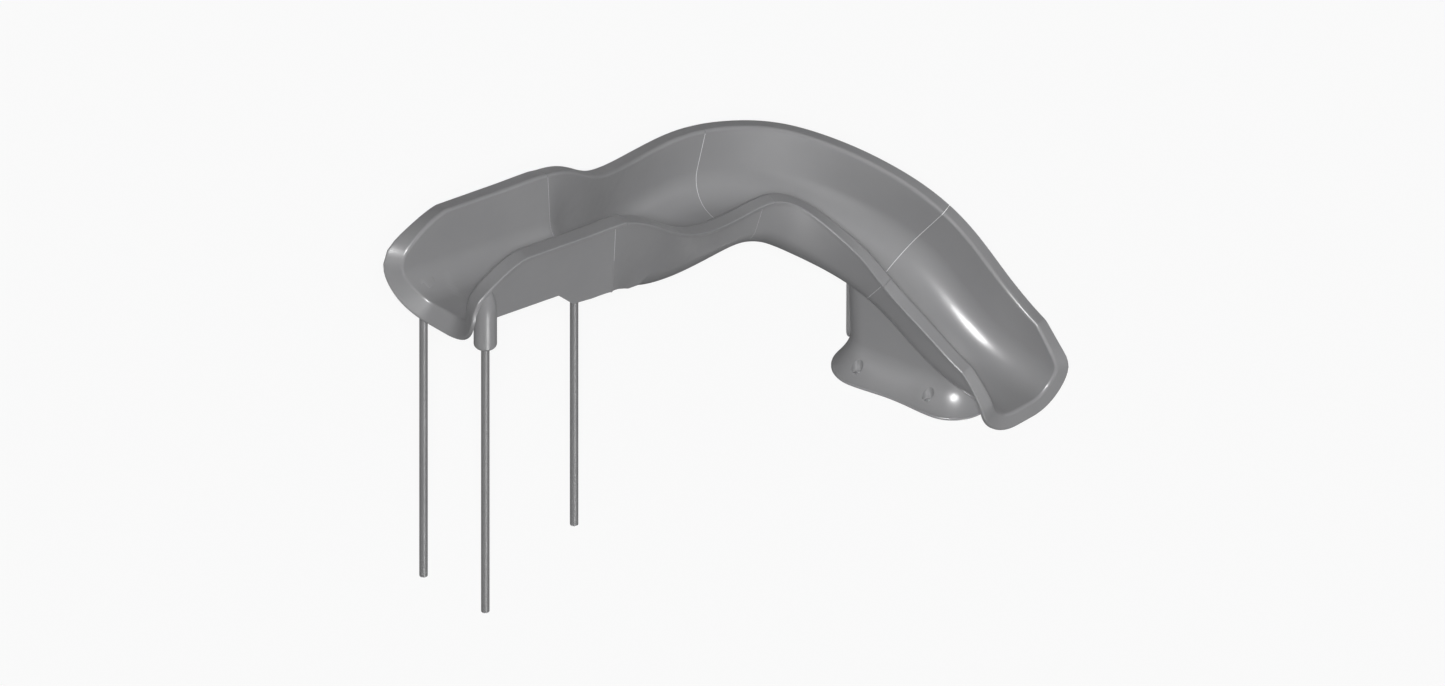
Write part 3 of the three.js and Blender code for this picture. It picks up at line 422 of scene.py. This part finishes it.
def flume_skin(start, end, rows, start_lip=None, end_lip=None, step=None):
    """Points and faces of one flume section, with its rim flange, as a closed skin."""
    wall = LIP_WALL if start_lip or end_lip else PLAIN_WALL
    columns = len(trough_profile(*FIRST_SIZE, 0, wall))

    def edge_at(lip, plain, j):
        if not lip:
            return plain
        section = frame_at(lip["at"])
        width, depth = section[4], section[5]
        height = trough_profile(width, depth, 0, wall)[j][1] + depth
        return lip["at"] + lip["sign"] * lip_reach(lip, height / (depth - RIM_RADIUS))

    starts = [edge_at(start_lip, start, j) for j in range(columns)]
    ends = [edge_at(end_lip, end, j) for j in range(columns)]
    points, sections, alongs, drops = [], [], [], []
    for i in range(rows + 1):
        t = i / rows
        plain = start + (end - start) * t
        for j in range(columns):
            along = plain + (starts[j] - start) * max(1 - t / LIP_SHARE, 0)
            along += (ends[j] - end) * max(1 - (1 - t) / LIP_SHARE, 0)
            section = frame_at(along)
            y, z = trough_profile(section[4], section[5], 0, wall)[j]
            drops.append((-RIM_RADIUS - z) / (section[5] - RIM_RADIUS))
            if step and drops[-1] > STEP_FROM:
                z -= step(along, y) * smooth_step((drops[-1] - STEP_FROM) / STEP_FADE)
            points.append(in_frame(section, y, z))
            sections.append(section)
            alongs.append(along)

    def index(i, j):
        return i * columns + j

    quads = [
        (index(i, j), index(i, j + 1), index(i + 1, j + 1), index(i + 1, j))
        for i in range(rows)
        for j in range(columns - 1)
    ]
    normals = skin_normals(points, quads)
    left = [index(i, 0) for i in range(rows + 1)]
    right = [index(i, columns - 1) for i in range(rows + 1)]
    first = [index(0, j) for j in range(columns)]
    last = [index(rows, j) for j in range(columns)]
    if start_lip:
        chains = [left[:0:-1] + first + right[1:]]
        lip_edge, lip = set(first), start_lip
    elif end_lip:
        chains = [left[:-1] + last + right[-2::-1]]
        lip_edge, lip = set(last), end_lip
    else:
        chains = [left, right]
        lip_edge, lip = set(), None
    for chain in chains:
        previous = None
        for k, here in enumerate(chain):
            edge = points[here]
            tangent = points[chain[min(k + 1, len(chain) - 1)]] - points[chain[max(k - 1, 0)]]
            section = sections[here]
            outwards = section[2] * (-1 if here % columns < columns / 2 else 1)
            beyond = section[3].copy()
            width = rim_flange(alongs[here])
            lean = -RIM_DROOP
            if here in lip_edge:
                from_rim = drops[here] / LIP_BLEND
                share = smooth_step(from_rim)
                normal = Vector(normals[here])
                conormal = tangent.cross(normal).normalized()
                if conormal.dot(section[1]) * lip["sign"] < 0:
                    conormal.negate()
                inner = in_frame(section, 0, -section[5] / 2) - edge
                if normal.dot(inner) < 0:
                    normal.negate()
                beyond = beyond.lerp(conormal, share).normalized()
                outwards = outwards.lerp(-normal, smooth_step(from_rim * 2)).normalized()
                beyond = (beyond - outwards * beyond.dot(outwards)).normalized()
                width += (lip["flange"] - width) * share
                lean += (math.radians(lip["flare"]) - lean) * share
            strip = [here]
            for p in flange_points(edge, beyond, outwards, width, lean):
                strip.append(len(points))
                points.append(p)
            if previous:
                for s in range(len(strip) - 1):
                    quads.append((previous[s], previous[s + 1], strip[s + 1], strip[s]))
            previous = strip
    quads = oriented(points, quads, frame_at((start + end) / 2))
    offsets = -skin_normals(points, quads) * SKIN
    points = np.array([tuple(p) for p in points])
    for along, lipped in ((start, start_lip), (end, end_lip)):
        if lipped:
            continue
        section = frame_at(along)
        ahead = np.array(section[1])
        flat = np.abs((points - np.array(section[0])) @ ahead) < 0.01
        offsets[flat] -= np.outer(offsets[flat] @ ahead, ahead)
        offsets[flat] *= (SKIN / np.linalg.norm(offsets[flat], axis=1))[:, None]
    return thickened(points, quads, offsets)


def oriented(points, quads, section):
    """The quads turned alike, with the first facing the rider."""
    bm = bmesh.new()
    verts = [bm.verts.new(p) for p in points]
    made = [bm.faces.new([verts[i] for i in quad]) for quad in quads]
    bmesh.ops.recalc_face_normals(bm, faces=bm.faces)
    bm.verts.index_update()
    bm.normal_update()
    turned_quads = [tuple(v.index for v in face.verts) for face in made]
    inner = in_frame(section, 0, -section[5] / 2)
    middle_face = made[len(trough_profile(*FIRST_SIZE)) // 2]
    facing = middle_face.normal.dot(inner - middle_face.calc_center_median())
    bm.free()
    if facing < 0:
        turned_quads = [quad[::-1] for quad in turned_quads]
    return turned_quads


# ---- plates and sockets under the flume ----

def outer_half(along):
    return route_value(5, along) / 2 + SKIN


def side_plates(alongs, bottom):
    """A plate down from each wall, flush with its outside. bottom gives the depth it ends at."""
    parts = []
    levels = 6
    for side in (-1, 1):
        points, quads = [], []
        for along in alongs:
            section = frame_at(along)
            top = wall_end_depth(along) + 2
            for n in range(levels + 1):
                z = -(top + (bottom(along) - top) * n / levels)
                y = side * (outer_half(along) + z * math.tan(WALL_DRAFT))
                points.append(in_frame(section, y, z))
        for i in range(len(alongs) - 1):
            for j in range(levels):
                a = i * (levels + 1) + j
                quads.append((a, a + 1, a + levels + 2, a + levels + 1))
        inwards = np.array([tuple(frame_at(along)[2] * -side * SKIN)
                            for along in alongs for n in range(levels + 1)])
        parts.append(thickened([tuple(p) for p in points], quads, inwards))
    return joined(parts)


def wall_end_depth(along):
    """Depth at which the trough's wall turns into its floor corner."""
    return route_value(6, along) - FLOOR_CORNER + (FLOOR_CORNER + SKIN) * math.sin(WALL_DRAFT)


def cross_plate(along, direction, half_width, bottom, thickness, corner=0.0):
    """A plate across the flume in its section plane, from its floor down to a depth."""
    section = frame_at(along)
    under = trough_profile(section[4], section[5], SKIN / 2)
    level = -wall_end_depth(along)
    outline = [(y, z) for y, z in under if z < level and abs(y) < half_width]
    steps = 6 if corner else 0
    for sign in (1, -1):
        arc = []
        for n in range(steps + 1):
            angle = math.radians(15 * n)
            y = half_width - corner + corner * math.cos(angle)
            arc.append((sign * y, corner - bottom - corner * math.sin(angle)))
        outline += arc if sign > 0 else arc[::-1]
    near = [in_frame(section, y, z) for y, z in outline]
    far = [p + section[1] * direction * thickness for p in near]
    return lofted([near, far])


SOCKET_ROUND = 24.0
CONE_TAKE = 0.62
CONE_POWER = 1.6


def socket(x, y, fitted, radius, bottom, top, cone, bore_top):
    """A pole socket, rounded at its foot. fitted moves its points out of the trough."""
    outline = [(SOCKET_BORE, bore_top), (SOCKET_BORE, bottom)]
    for n in range(9):
        angle = math.radians(-90 + 90 * n / 8)
        outline.append((radius - SOCKET_ROUND + SOCKET_ROUND * math.cos(angle),
                        bottom + SOCKET_ROUND + SOCKET_ROUND * math.sin(angle)))
    outline += [(radius, bottom + (top - cone - bottom) * n / 8) for n in range(1, 9)]
    for n in range(1, 11):
        t = n / 10
        outline.append((radius * (1 - CONE_TAKE * t ** CONE_POWER), top - cone + cone * t))
    outline += [(0.01, top), (0.01, bore_top), (SOCKET_BORE, bore_top)]
    points, faces = turned(outline, x, y)
    return [fitted(Vector(p)) for p in points], faces


def onto_skin(p):
    """A point moved out of the trough to the middle of its skin."""
    section = frame_at(p.x)
    width, depth = section[4], section[5]
    radius = FLOOR_CORNER + SKIN / 2
    centre_z = FLOOR_CORNER - depth
    z = p.z - section[0].z
    wall = width / 2 + z * math.tan(WALL_DRAFT) + SKIN / 2
    level = wall_end_depth(p.x)
    if z > -level:
        limit = wall
    elif z > -depth - SKIN / 2:
        centre_y = width / 2 - level * math.tan(WALL_DRAFT) + SKIN / 2 - radius
        limit = centre_y + math.sqrt(max(radius ** 2 - (z - centre_z) ** 2, 0))
    else:
        return p
    if abs(p.y) < limit:
        if abs(p.y) < limit - radius * 0.75:
            return Vector((p.x, p.y, section[0].z - depth - SKIN / 2))
        return Vector((p.x, math.copysign(limit, p.y), p.z))
    return p


# ---- materials ----

MOTTLE_SCALE = 2.2
PATCH_SCALE = 14.0
PATCH_DETAIL = 5.0
NOISE_ROUGHNESS = 0.5
GRAIN_STRENGTH = 0.12
GRAIN_DEPTH = 0.0003
COAT_ROUGHNESS = 0.16


def node_material(name):
    material = bpy.data.materials.new(name)
    material.use_nodes = True
    tree = material.node_tree
    shader = tree.nodes["Principled BSDF"]
    place = tree.nodes.new("ShaderNodeTexCoord")
    return material, tree, shader, place.outputs["Object"]


def noise(tree, place, scale, detail=3.0):
    texture = tree.nodes.new("ShaderNodeTexNoise")
    texture.inputs["Scale"].default_value = scale
    texture.inputs["Detail"].default_value = detail
    texture.inputs["Roughness"].default_value = NOISE_ROUGHNESS
    tree.links.new(place, texture.inputs["Vector"])
    return texture.outputs["Fac"]


def between(tree, value, low_end, high_end, socket_in):
    """A value spread over a range and linked to a socket."""
    spread = tree.nodes.new("ShaderNodeMapRange")
    spread.inputs["From Min"].default_value = 0.3
    spread.inputs["From Max"].default_value = 0.7
    spread.inputs["To Min"].default_value = low_end
    spread.inputs["To Max"].default_value = high_end
    tree.links.new(value, spread.inputs["Value"])
    tree.links.new(spread.outputs["Result"], socket_in)


def two_tone(tree, value, first, second, socket_in):
    ramp = tree.nodes.new("ShaderNodeValToRGB")
    ramp.color_ramp.elements[0].position = 0.35
    ramp.color_ramp.elements[0].color = (*first, 1)
    ramp.color_ramp.elements[1].position = 0.65
    ramp.color_ramp.elements[1].color = (*second, 1)
    tree.links.new(value, ramp.inputs["Fac"])
    tree.links.new(ramp.outputs["Color"], socket_in)


def bumps(tree, value, strength, distance, shader):
    bump = tree.nodes.new("ShaderNodeBump")
    bump.inputs["Strength"].default_value = strength
    bump.inputs["Distance"].default_value = distance
    tree.links.new(value, bump.inputs["Height"])
    tree.links.new(bump.outputs["Normal"], shader.inputs["Normal"])


def finish_material(name, first, second, rough, metallic=0.0, grain=220.0, coat=0.0):
    """A lightly mottled material with a fine grain."""
    material, tree, shader, place = node_material(name)
    mottle = noise(tree, place, MOTTLE_SCALE)
    two_tone(tree, mottle, first, second, shader.inputs["Base Color"])
    patches = noise(tree, place, PATCH_SCALE, PATCH_DETAIL)
    between(tree, patches, rough - 0.03, rough + 0.04, shader.inputs["Roughness"])
    bumps(tree, noise(tree, place, grain), GRAIN_STRENGTH, GRAIN_DEPTH, shader)
    shader.inputs["Metallic"].default_value = metallic
    shader.inputs["Coat Weight"].default_value = coat
    shader.inputs["Coat Roughness"].default_value = COAT_ROUGHNESS
    return material


MOULDING = finish_material(
    "moulded_plastic", (0.186, 0.186, 0.190), (0.196, 0.196, 0.199), 0.34, coat=0.25)
POLE = finish_material(
    "coated_tube", (0.17, 0.17, 0.172), (0.185, 0.185, 0.187), 0.38, metallic=0.15)
STAINLESS = finish_material(
    "stainless", (0.55, 0.56, 0.57), (0.66, 0.67, 0.68), 0.3, metallic=1.0, grain=600)
# Pale grey rubber is painted light: the colour is lightened so the seals show as light lines at
# the joints and the shade in the narrow joint gaps is lifted.
RUBBER_PAINTED_LIGHT = finish_material("rubber", (0.50, 0.50, 0.51), (0.56, 0.56, 0.57), 0.6, grain=500)
FITTING = finish_material(
    "fitting_plastic", (0.52, 0.52, 0.50), (0.58, 0.58, 0.56), 0.42, grain=400)

BY_SLOT = {
    "moulding": MOULDING, "pole": POLE, "stainless": STAINLESS,
    "rubber": RUBBER_PAINTED_LIGHT, "fitting": FITTING,
}
for entry in frame["record"]["subparts"]:
    node = NODES[entry["node"]]
    node.data.materials.clear()
    node.data.materials.append(BY_SLOT[entry["material_slot"]])
    smooth_shade(node, CAD_SHARP_ANGLE)


def stands_for(piece, node, slot):
    """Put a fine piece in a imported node's place."""
    piece.data.materials.clear()
    piece.data.materials.append(BY_SLOT[slot])
    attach(piece, "root")
    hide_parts(node)


# ---- entry section ----

joint_1, joint_2, joint_3 = JOINTS
entry_end = beside(joint_1, -HALF_JOINT)


def entry_bottom(along):
    """Lower edge of the entry's side plates: skirt, slanted start of the box, box."""
    stations = (0, BOX_START, 705, 860, entry_end)
    depths = (SKIRT_DEPTH, SKIRT_DEPTH, 544, BOX_DEPTH, BOX_DEPTH)
    return float(np.interp(along, stations, depths))


def drafted(along):
    """Half width of the box under the trough."""
    return outer_half(along) - BOX_DEPTH * math.tan(WALL_DRAFT) - 1


entry_alongs = list(np.linspace(SKIRT_START, BOX_START, 24))
entry_alongs += list(np.linspace(BOX_START + 5, entry_end, 40))
sockets = [socket(0, side * FRONT_POLE_Y, onto_skin, **FRONT_SOCKET) for side in (-1, 1)]
under_floor = frame_at(REAR_POLE_X)[0].z - route_value(6, REAR_POLE_X) - SKIN / 2


def below_floor(p):
    return Vector((p.x, p.y, min(p.z, under_floor)))


sockets.append(socket(REAR_POLE_X, 0, below_floor, **REAR_SOCKET))
entry_parts = [
    flume_skin(0, entry_end, 64, start_lip=ENTRY_LIP, step=entry_step),
    side_plates(entry_alongs, entry_bottom),
    cross_plate(entry_end, -1, drafted(entry_end), BOX_DEPTH, BOX_SKIN),
    *sockets,
]
stands_for(new_object("entry_moulding", *joined(entry_parts)), "entry_section", "moulding")

# ---- middle section ----

middle_start = beside(joint_1, HALF_JOINT)
middle_end = beside(joint_2, -HALF_JOINT)


def middle_bottom(along):
    """Lower edge of the middle section's side plates, from the joint to where they fade out."""
    stations = (middle_start, 1190, 1300, 1400, MIDDLE_BOX_END)
    depths = (MIDDLE_BOX_DEPTH, 514, 484, 430, wall_end_depth(MIDDLE_BOX_END) + 3)
    return float(np.interp(along, stations, depths))


def joint_plate(along, direction):
    """The plate that hangs under one side of a joint and takes its bolts."""
    depth = route_value(6, along)
    bottom = depth + SKIN + PLATE_DROP
    return cross_plate(along, direction, PLATE_HALF, bottom, PLATE_THICKNESS, PLATE_CORNER)


middle_parts = [
    flume_skin(middle_start, middle_end, 72),
    side_plates(list(np.linspace(middle_start, MIDDLE_BOX_END, 36)), middle_bottom),
    cross_plate(middle_start, 1, drafted(middle_start), MIDDLE_BOX_DEPTH, BOX_SKIN),
    joint_plate(middle_end, -1),
]
stands_for(new_object("middle_moulding", *joined(middle_parts)), "middle_section", "moulding")

# ---- curve and exit sections ----

curve_start = beside(joint_2, HALF_JOINT)
curve_end = beside(joint_3, -HALF_JOINT)
exit_start = beside(joint_3, HALF_JOINT)
curve_parts = [
    flume_skin(curve_start, curve_end, 64),
    joint_plate(curve_start, 1),
    joint_plate(curve_end, -1),
]
stands_for(new_object("curve_moulding", *joined(curve_parts)), "curve_section", "moulding")
exit_parts = [
    flume_skin(exit_start, FLUME_END, 56, end_lip=EXIT_LIP),
    joint_plate(exit_start, 1),
]
stands_for(new_object("exit_moulding", *joined(exit_parts)), "exit_section", "moulding")

# ---- seals ----

for number, joint in enumerate(JOINTS, 1):
    rows = []
    for gap in (-JOINT_SEAL / 2, JOINT_SEAL / 2):
        section = frame_at(beside(joint, gap))
        inner = trough_profile(section[4], section[5], 0.4)
        outer = trough_profile(section[4], section[5], SKIN - 0.4)
        rows.append([in_frame(section, y, z) for y, z in inner + outer[::-1]])
    seal = new_object(f"joint_seal_fine_{number}", *lofted(rows))
    stands_for(seal, f"joint_seal_{number}", "rubber")

# ---- pedestal ----

RING_CORNER_STEPS = 20
RING_SIDE_STEPS = 16
FLARE_STEPS = 24
FLARE_RISE = 1.6
FLARE_CURVE = 2.4
FLARE_SHARE = 0.94
SADDLE_REACH = 220


def pedestal_ring(shape, height):
    """Points round the pedestal's plan: a rounded rectangle with waisted long sides."""
    ring = []
    corners = ((1, 1, shape["corner"]), (-1, 1, shape["outer"]),
               (-1, -1, shape["corner"]), (1, -1, shape["corner"]))
    for k, (sx, sy, radius) in enumerate(corners):
        for i in range(RING_CORNER_STEPS + 1):
            angle = math.radians(90 * (k + i / RING_CORNER_STEPS))
            ring.append((sx * (shape["length"] - radius) + radius * math.cos(angle),
                         sy * (shape["width"] - radius) + radius * math.sin(angle)))
        if k % 2 == 0:
            next_radius = corners[k + 1][2]
            x0 = sx * (shape["length"] - radius)
            x1 = -sx * (shape["length"] - next_radius)
            for i in range(1, RING_SIDE_STEPS):
                dip = math.sin(math.pi * i / RING_SIDE_STEPS) ** 2 * shape["waist"]
                ring.append((x0 + (x1 - x0) * i / RING_SIDE_STEPS, sy * (shape["width"] - dip)))
    px, py, heading = PEDESTAL
    c, s = math.cos(heading), math.sin(heading)
    return [Vector((px + x * c - y * s, py + x * s + y * c, height)) for x, y in ring]


def pedestal_solid(inset, bottom, clear_gap):
    """The pedestal, or its inside when inset, from its foot up to the flume."""
    def leg(z):
        grow = LEG_SPREAD * max(z - FLARE_HEIGHT, 0)
        return dict(length=LEG["length"] + grow / 2 - inset, width=LEG["width"] + grow - inset,
                    corner=LEG["corner"] - inset, outer=LEG["outer"] - inset, waist=0)

    def mix(share, z):
        upper = leg(z)
        lower = {key: FOOT[key] - (0 if key == "waist" else inset) for key in upper}
        return {key: upper[key] + (lower[key] - upper[key]) * share for key in upper}

    foot = mix(1, 0)
    rings = [pedestal_ring(foot, bottom)]
    if inset == 0:
        low_edge = FOOT_THICKNESS - FOOT_EDGE
        rings.append(pedestal_ring(foot, low_edge))
        for n in range(1, 7):
            angle = math.radians(15 * n)
            smaller = dict(foot)
            pull = FOOT_EDGE * (1 - math.cos(angle))
            for key in ("length", "width", "corner", "outer"):
                smaller[key] = foot[key] - pull
            rings.append(pedestal_ring(smaller, low_edge + FOOT_EDGE * math.sin(angle)))
    else:
        rings.append(pedestal_ring(foot, FOOT_THICKNESS - inset))
    for n in range(1, FLARE_STEPS + 1):
        t = n / FLARE_STEPS
        z = FOOT_THICKNESS + t ** FLARE_RISE * (FLARE_HEIGHT - FOOT_THICKNESS)
        level = (z - FOOT_THICKNESS) / (FLARE_HEIGHT - FOOT_THICKNESS)
        share = (1 - level) ** FLARE_CURVE * FLARE_SHARE
        rings.append(pedestal_ring(mix(share, z), z - inset * 0.7))
    low_ring = pedestal_ring(leg(FLARE_HEIGHT), FLARE_HEIGHT)
    high_ring = pedestal_ring(leg(PEDESTAL_TOP), PEDESTAL_TOP)
    tops = [underside(a, b, clear_gap) for a, b in zip(low_ring, high_ring)]
    for share in (0.15, 0.35, 0.55, 0.75, 0.9, 1.0):
        rings.append([
            p.lerp(q, share * (top - FLARE_HEIGHT) / (PEDESTAL_TOP - FLARE_HEIGHT))
            for p, q, (top, reach) in zip(low_ring, high_ring, tops)
        ])
    rings.append([p + Vector((0, 0, reach)) for p, (top, reach) in zip(rings[-1], tops)])
    points, faces = lofted(rings)
    cap = faces.pop()
    points.append(sum((points[i] for i in cap), Vector()) / len(cap))
    faces += [(cap[i - 1], cap[i], len(points) - 1) for i in range(len(cap))]
    return points, faces


run_steps = int((FLUME_END - PEDESTAL_START) / STEP)
run_alongs = [PEDESTAL_START + STEP * n for n in range(run_steps + 1)]
run = [frame_at(along) for along in run_alongs]
RUN_ORIGINS = np.array([tuple(section[0]) for section in run])
RUN_AHEADS = np.array([tuple(section[1]) for section in run])


def above_underside(p, gap):
    """Whether a point is above the flume's underside, and how far it is inside the walls."""
    ahead_of = np.einsum("ij,ij->i", np.array(tuple(p)) - RUN_ORIGINS, RUN_AHEADS)
    section = run[int(np.argmax(ahead_of < 0)) if (ahead_of < 0).any() else -1]
    offset = p - section[0]
    y, z = abs(offset.dot(section[2])), offset.dot(section[3])
    depth = section[5]
    radius = FLOOR_CORNER + gap
    centre_z = FLOOR_CORNER - depth
    half = section[4] / 2 + centre_z * math.tan(WALL_DRAFT) + gap
    centre_y = half - radius
    if y < centre_y:
        limit = -depth - gap
    elif y < half:
        limit = centre_z - math.sqrt(radius ** 2 - (y - centre_y) ** 2)
    else:
        limit = centre_z - gap
    return z > limit, half - y


def underside(low_point, high_point, gap):
    """Height at which an upright line of the pedestal meets the flume, and how far past that
    it may run inside the flume before it is cut."""
    below, above = 0.0, 1.0
    for _ in range(22):
        share = (below + above) / 2
        inside = above_underside(low_point.lerp(high_point, share), gap)[0]
        below, above = (below, share) if inside else (share, above)
    margin = above_underside(low_point.lerp(high_point, above), gap)[1]
    reach = SADDLE_REACH * smooth_step((margin - 12) / 80)
    return FLARE_HEIGHT + above * (PEDESTAL_TOP - FLARE_HEIGHT), reach


def flume_block(gap):
    """The flume filled to its rims and grown by a gap."""
    rings = []
    for along in np.linspace(PEDESTAL_START, FLUME_END, 60):
        section = frame_at(float(along))
        profile = trough_profile(section[4], section[5], gap)
        rings.append([in_frame(section, y, z) for y, z in profile])
    return lofted(rings)


def anchor_places():
    """Plan positions of the pedestal's four bolts."""
    px, py, heading = PEDESTAL
    c, s = math.cos(heading), math.sin(heading)
    return [(px + x * c - y * s, py + x * s + y * c)
            for x in ANCHOR["alongs"] for y in (-ANCHOR["across"], ANCHOR["across"])]


def rod(radius, bottom, top, x, y):
    """Points and faces of an upright round bar."""
    ring = [Vector((x + radius * math.cos(a), y + radius * math.sin(a), 0))
            for a in np.linspace(0, 2 * math.pi, 33)[:-1]]
    return lofted([[p + Vector((0, 0, z)) for p in ring] for z in (bottom, top)])


clear = SKIN + SADDLE_GAP
pedestal = new_object("pedestal_moulding", *pedestal_solid(0, 0, clear))
hollow = new_object("hollow", *pedestal_solid(PEDESTAL_SKIN, -10, clear + PEDESTAL_SKIN))
cut(hollow, new_object("inner_block", *flume_block(clear + PEDESTAL_SKIN)))
for x, y in anchor_places():
    cut(hollow, new_object("column", *rod(ANCHOR["pocket"] + PEDESTAL_SKIN, -20, 120, x, y)))
cut(pedestal, new_object("block", *flume_block(clear)))
cut(pedestal, hollow)
for x, y in anchor_places():
    cut(pedestal, new_object("pocket", *rod(ANCHOR["pocket"], ANCHOR["seat"], 220, x, y)))
    cut(pedestal, new_object("hole", *rod(ANCHOR["hole"], -5, 60, x, y)))
face_outwards(pedestal)
smooth_shade(pedestal, PEDESTAL_SHARP_ANGLE)
stands_for(pedestal, "pedestal", "moulding")

# ---- poles ----

for name in ("front_left", "front_right", "rear"):
    low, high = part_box(f"pole_{name}")
    x, y = ((low + high) / 2 - SHIFT).xy * 1000
    outer = (high.x - low.x) * 500
    bottom, top = low.z * 1000, high.z * 1000
    outline = [
        (outer - 3, bottom), (outer - 0.8, bottom), (outer, bottom + 0.8), (outer, top - 0.8),
        (outer - 0.8, top), (outer - 3, top), (outer - 3, bottom),
    ]
    tube = new_object(f"tube_{name}", *turned(outline, x, y))
    stands_for(tube, f"pole_{name}", "pole")

# ---- floor, light and camera ----

scene = bpy.context.scene
CAMERA_SCALE = 8.2365
CAMERA_DISTANCE = 14
FLOOR_REACH = 40
FLOOR_LEVEL = -0.002
centre = Vector((1.688, -0.473, 1.140)) + SHIFT
toward_camera = Vector((-1, -1, 1)).normalized()

floor_mesh = bpy.data.meshes.new("floor")
corners = [(x * FLOOR_REACH, y * FLOOR_REACH, FLOOR_LEVEL)
           for x, y in ((-1, -1), (1, -1), (1, 1), (-1, 1))]
floor_mesh.from_pydata(corners, [], [(0, 1, 2, 3)])
floor = bpy.data.objects.new("floor", floor_mesh)
scene.collection.objects.link(floor)
pale, _, pale_shader, _ = node_material("pale_floor")
pale_shader.inputs["Base Color"].default_value = (0.05, 0.05, 0.05, 1)
pale_shader.inputs["Roughness"].default_value = 1.0
pale_shader.inputs["Specular IOR Level"].default_value = 0.0
pale_shader.inputs["Emission Color"].default_value = (1, 1, 1, 1)
pale_shader.inputs["Emission Strength"].default_value = 0.91
floor.data.materials.append(pale)
floor.visible_diffuse = False
floor.visible_glossy = False

world = bpy.data.worlds.new("studio")
world.use_nodes = True
world.node_tree.nodes["Background"].inputs["Color"].default_value = (0.975, 0.975, 1.0, 1)
world.node_tree.nodes["Background"].inputs["Strength"].default_value = 0.16
scene.world = world
scene.view_settings.view_transform = "Standard"
scene.view_settings.look = "None"


def sun(name, direction, strength, angle, diffuse=True, gloss=True, shadow=True):
    """A sun that shines from a direction, on diffuse or glossy surfaces or both."""
    light = bpy.data.lights.new(name, "SUN")
    light.energy = strength
    light.angle = math.radians(angle)
    light.use_shadow = shadow
    lamp = bpy.data.objects.new(name, light)
    lamp.rotation_euler = Vector(direction).to_track_quat("Z", "Y").to_euler()
    lamp.visible_diffuse = diffuse
    lamp.visible_glossy = gloss
    scene.collection.objects.link(lamp)


sun("headlight", toward_camera, 2.75, 4, gloss=False)
sun("wall_fill", (0.15, -0.85, 0.5), 0.8, 20, gloss=False, shadow=False)
sun("curve_fill", (-0.9, -0.35, 0.15), 1.0, 20, gloss=False, shadow=False)
sun("turn_fill", (0.8, -0.6, 0.0), 0.9, 20, gloss=False, shadow=False)
sun("back_fill", (0.7, 0.7, -0.1), 2.4, 20, gloss=False, shadow=False)
sun("streak_light", (-0.63, -0.2, 0.75), 4.4, 22, diffuse=False)
sun("wall_gloss", (-0.25, -0.71, -0.66), 1.0, 22, diffuse=False, shadow=False)

camera_data = bpy.data.cameras.new("camera")
camera_data.type = "ORTHO"
camera_data.ortho_scale = CAMERA_SCALE
camera_data.clip_end = 60
camera = bpy.data.objects.new("camera", camera_data)
camera.location = centre + toward_camera * CAMERA_DISTANCE
camera.rotation_euler = toward_camera.to_track_quat("Z", "Y").to_euler()
scene.collection.objects.link(camera)
scene.camera = camera
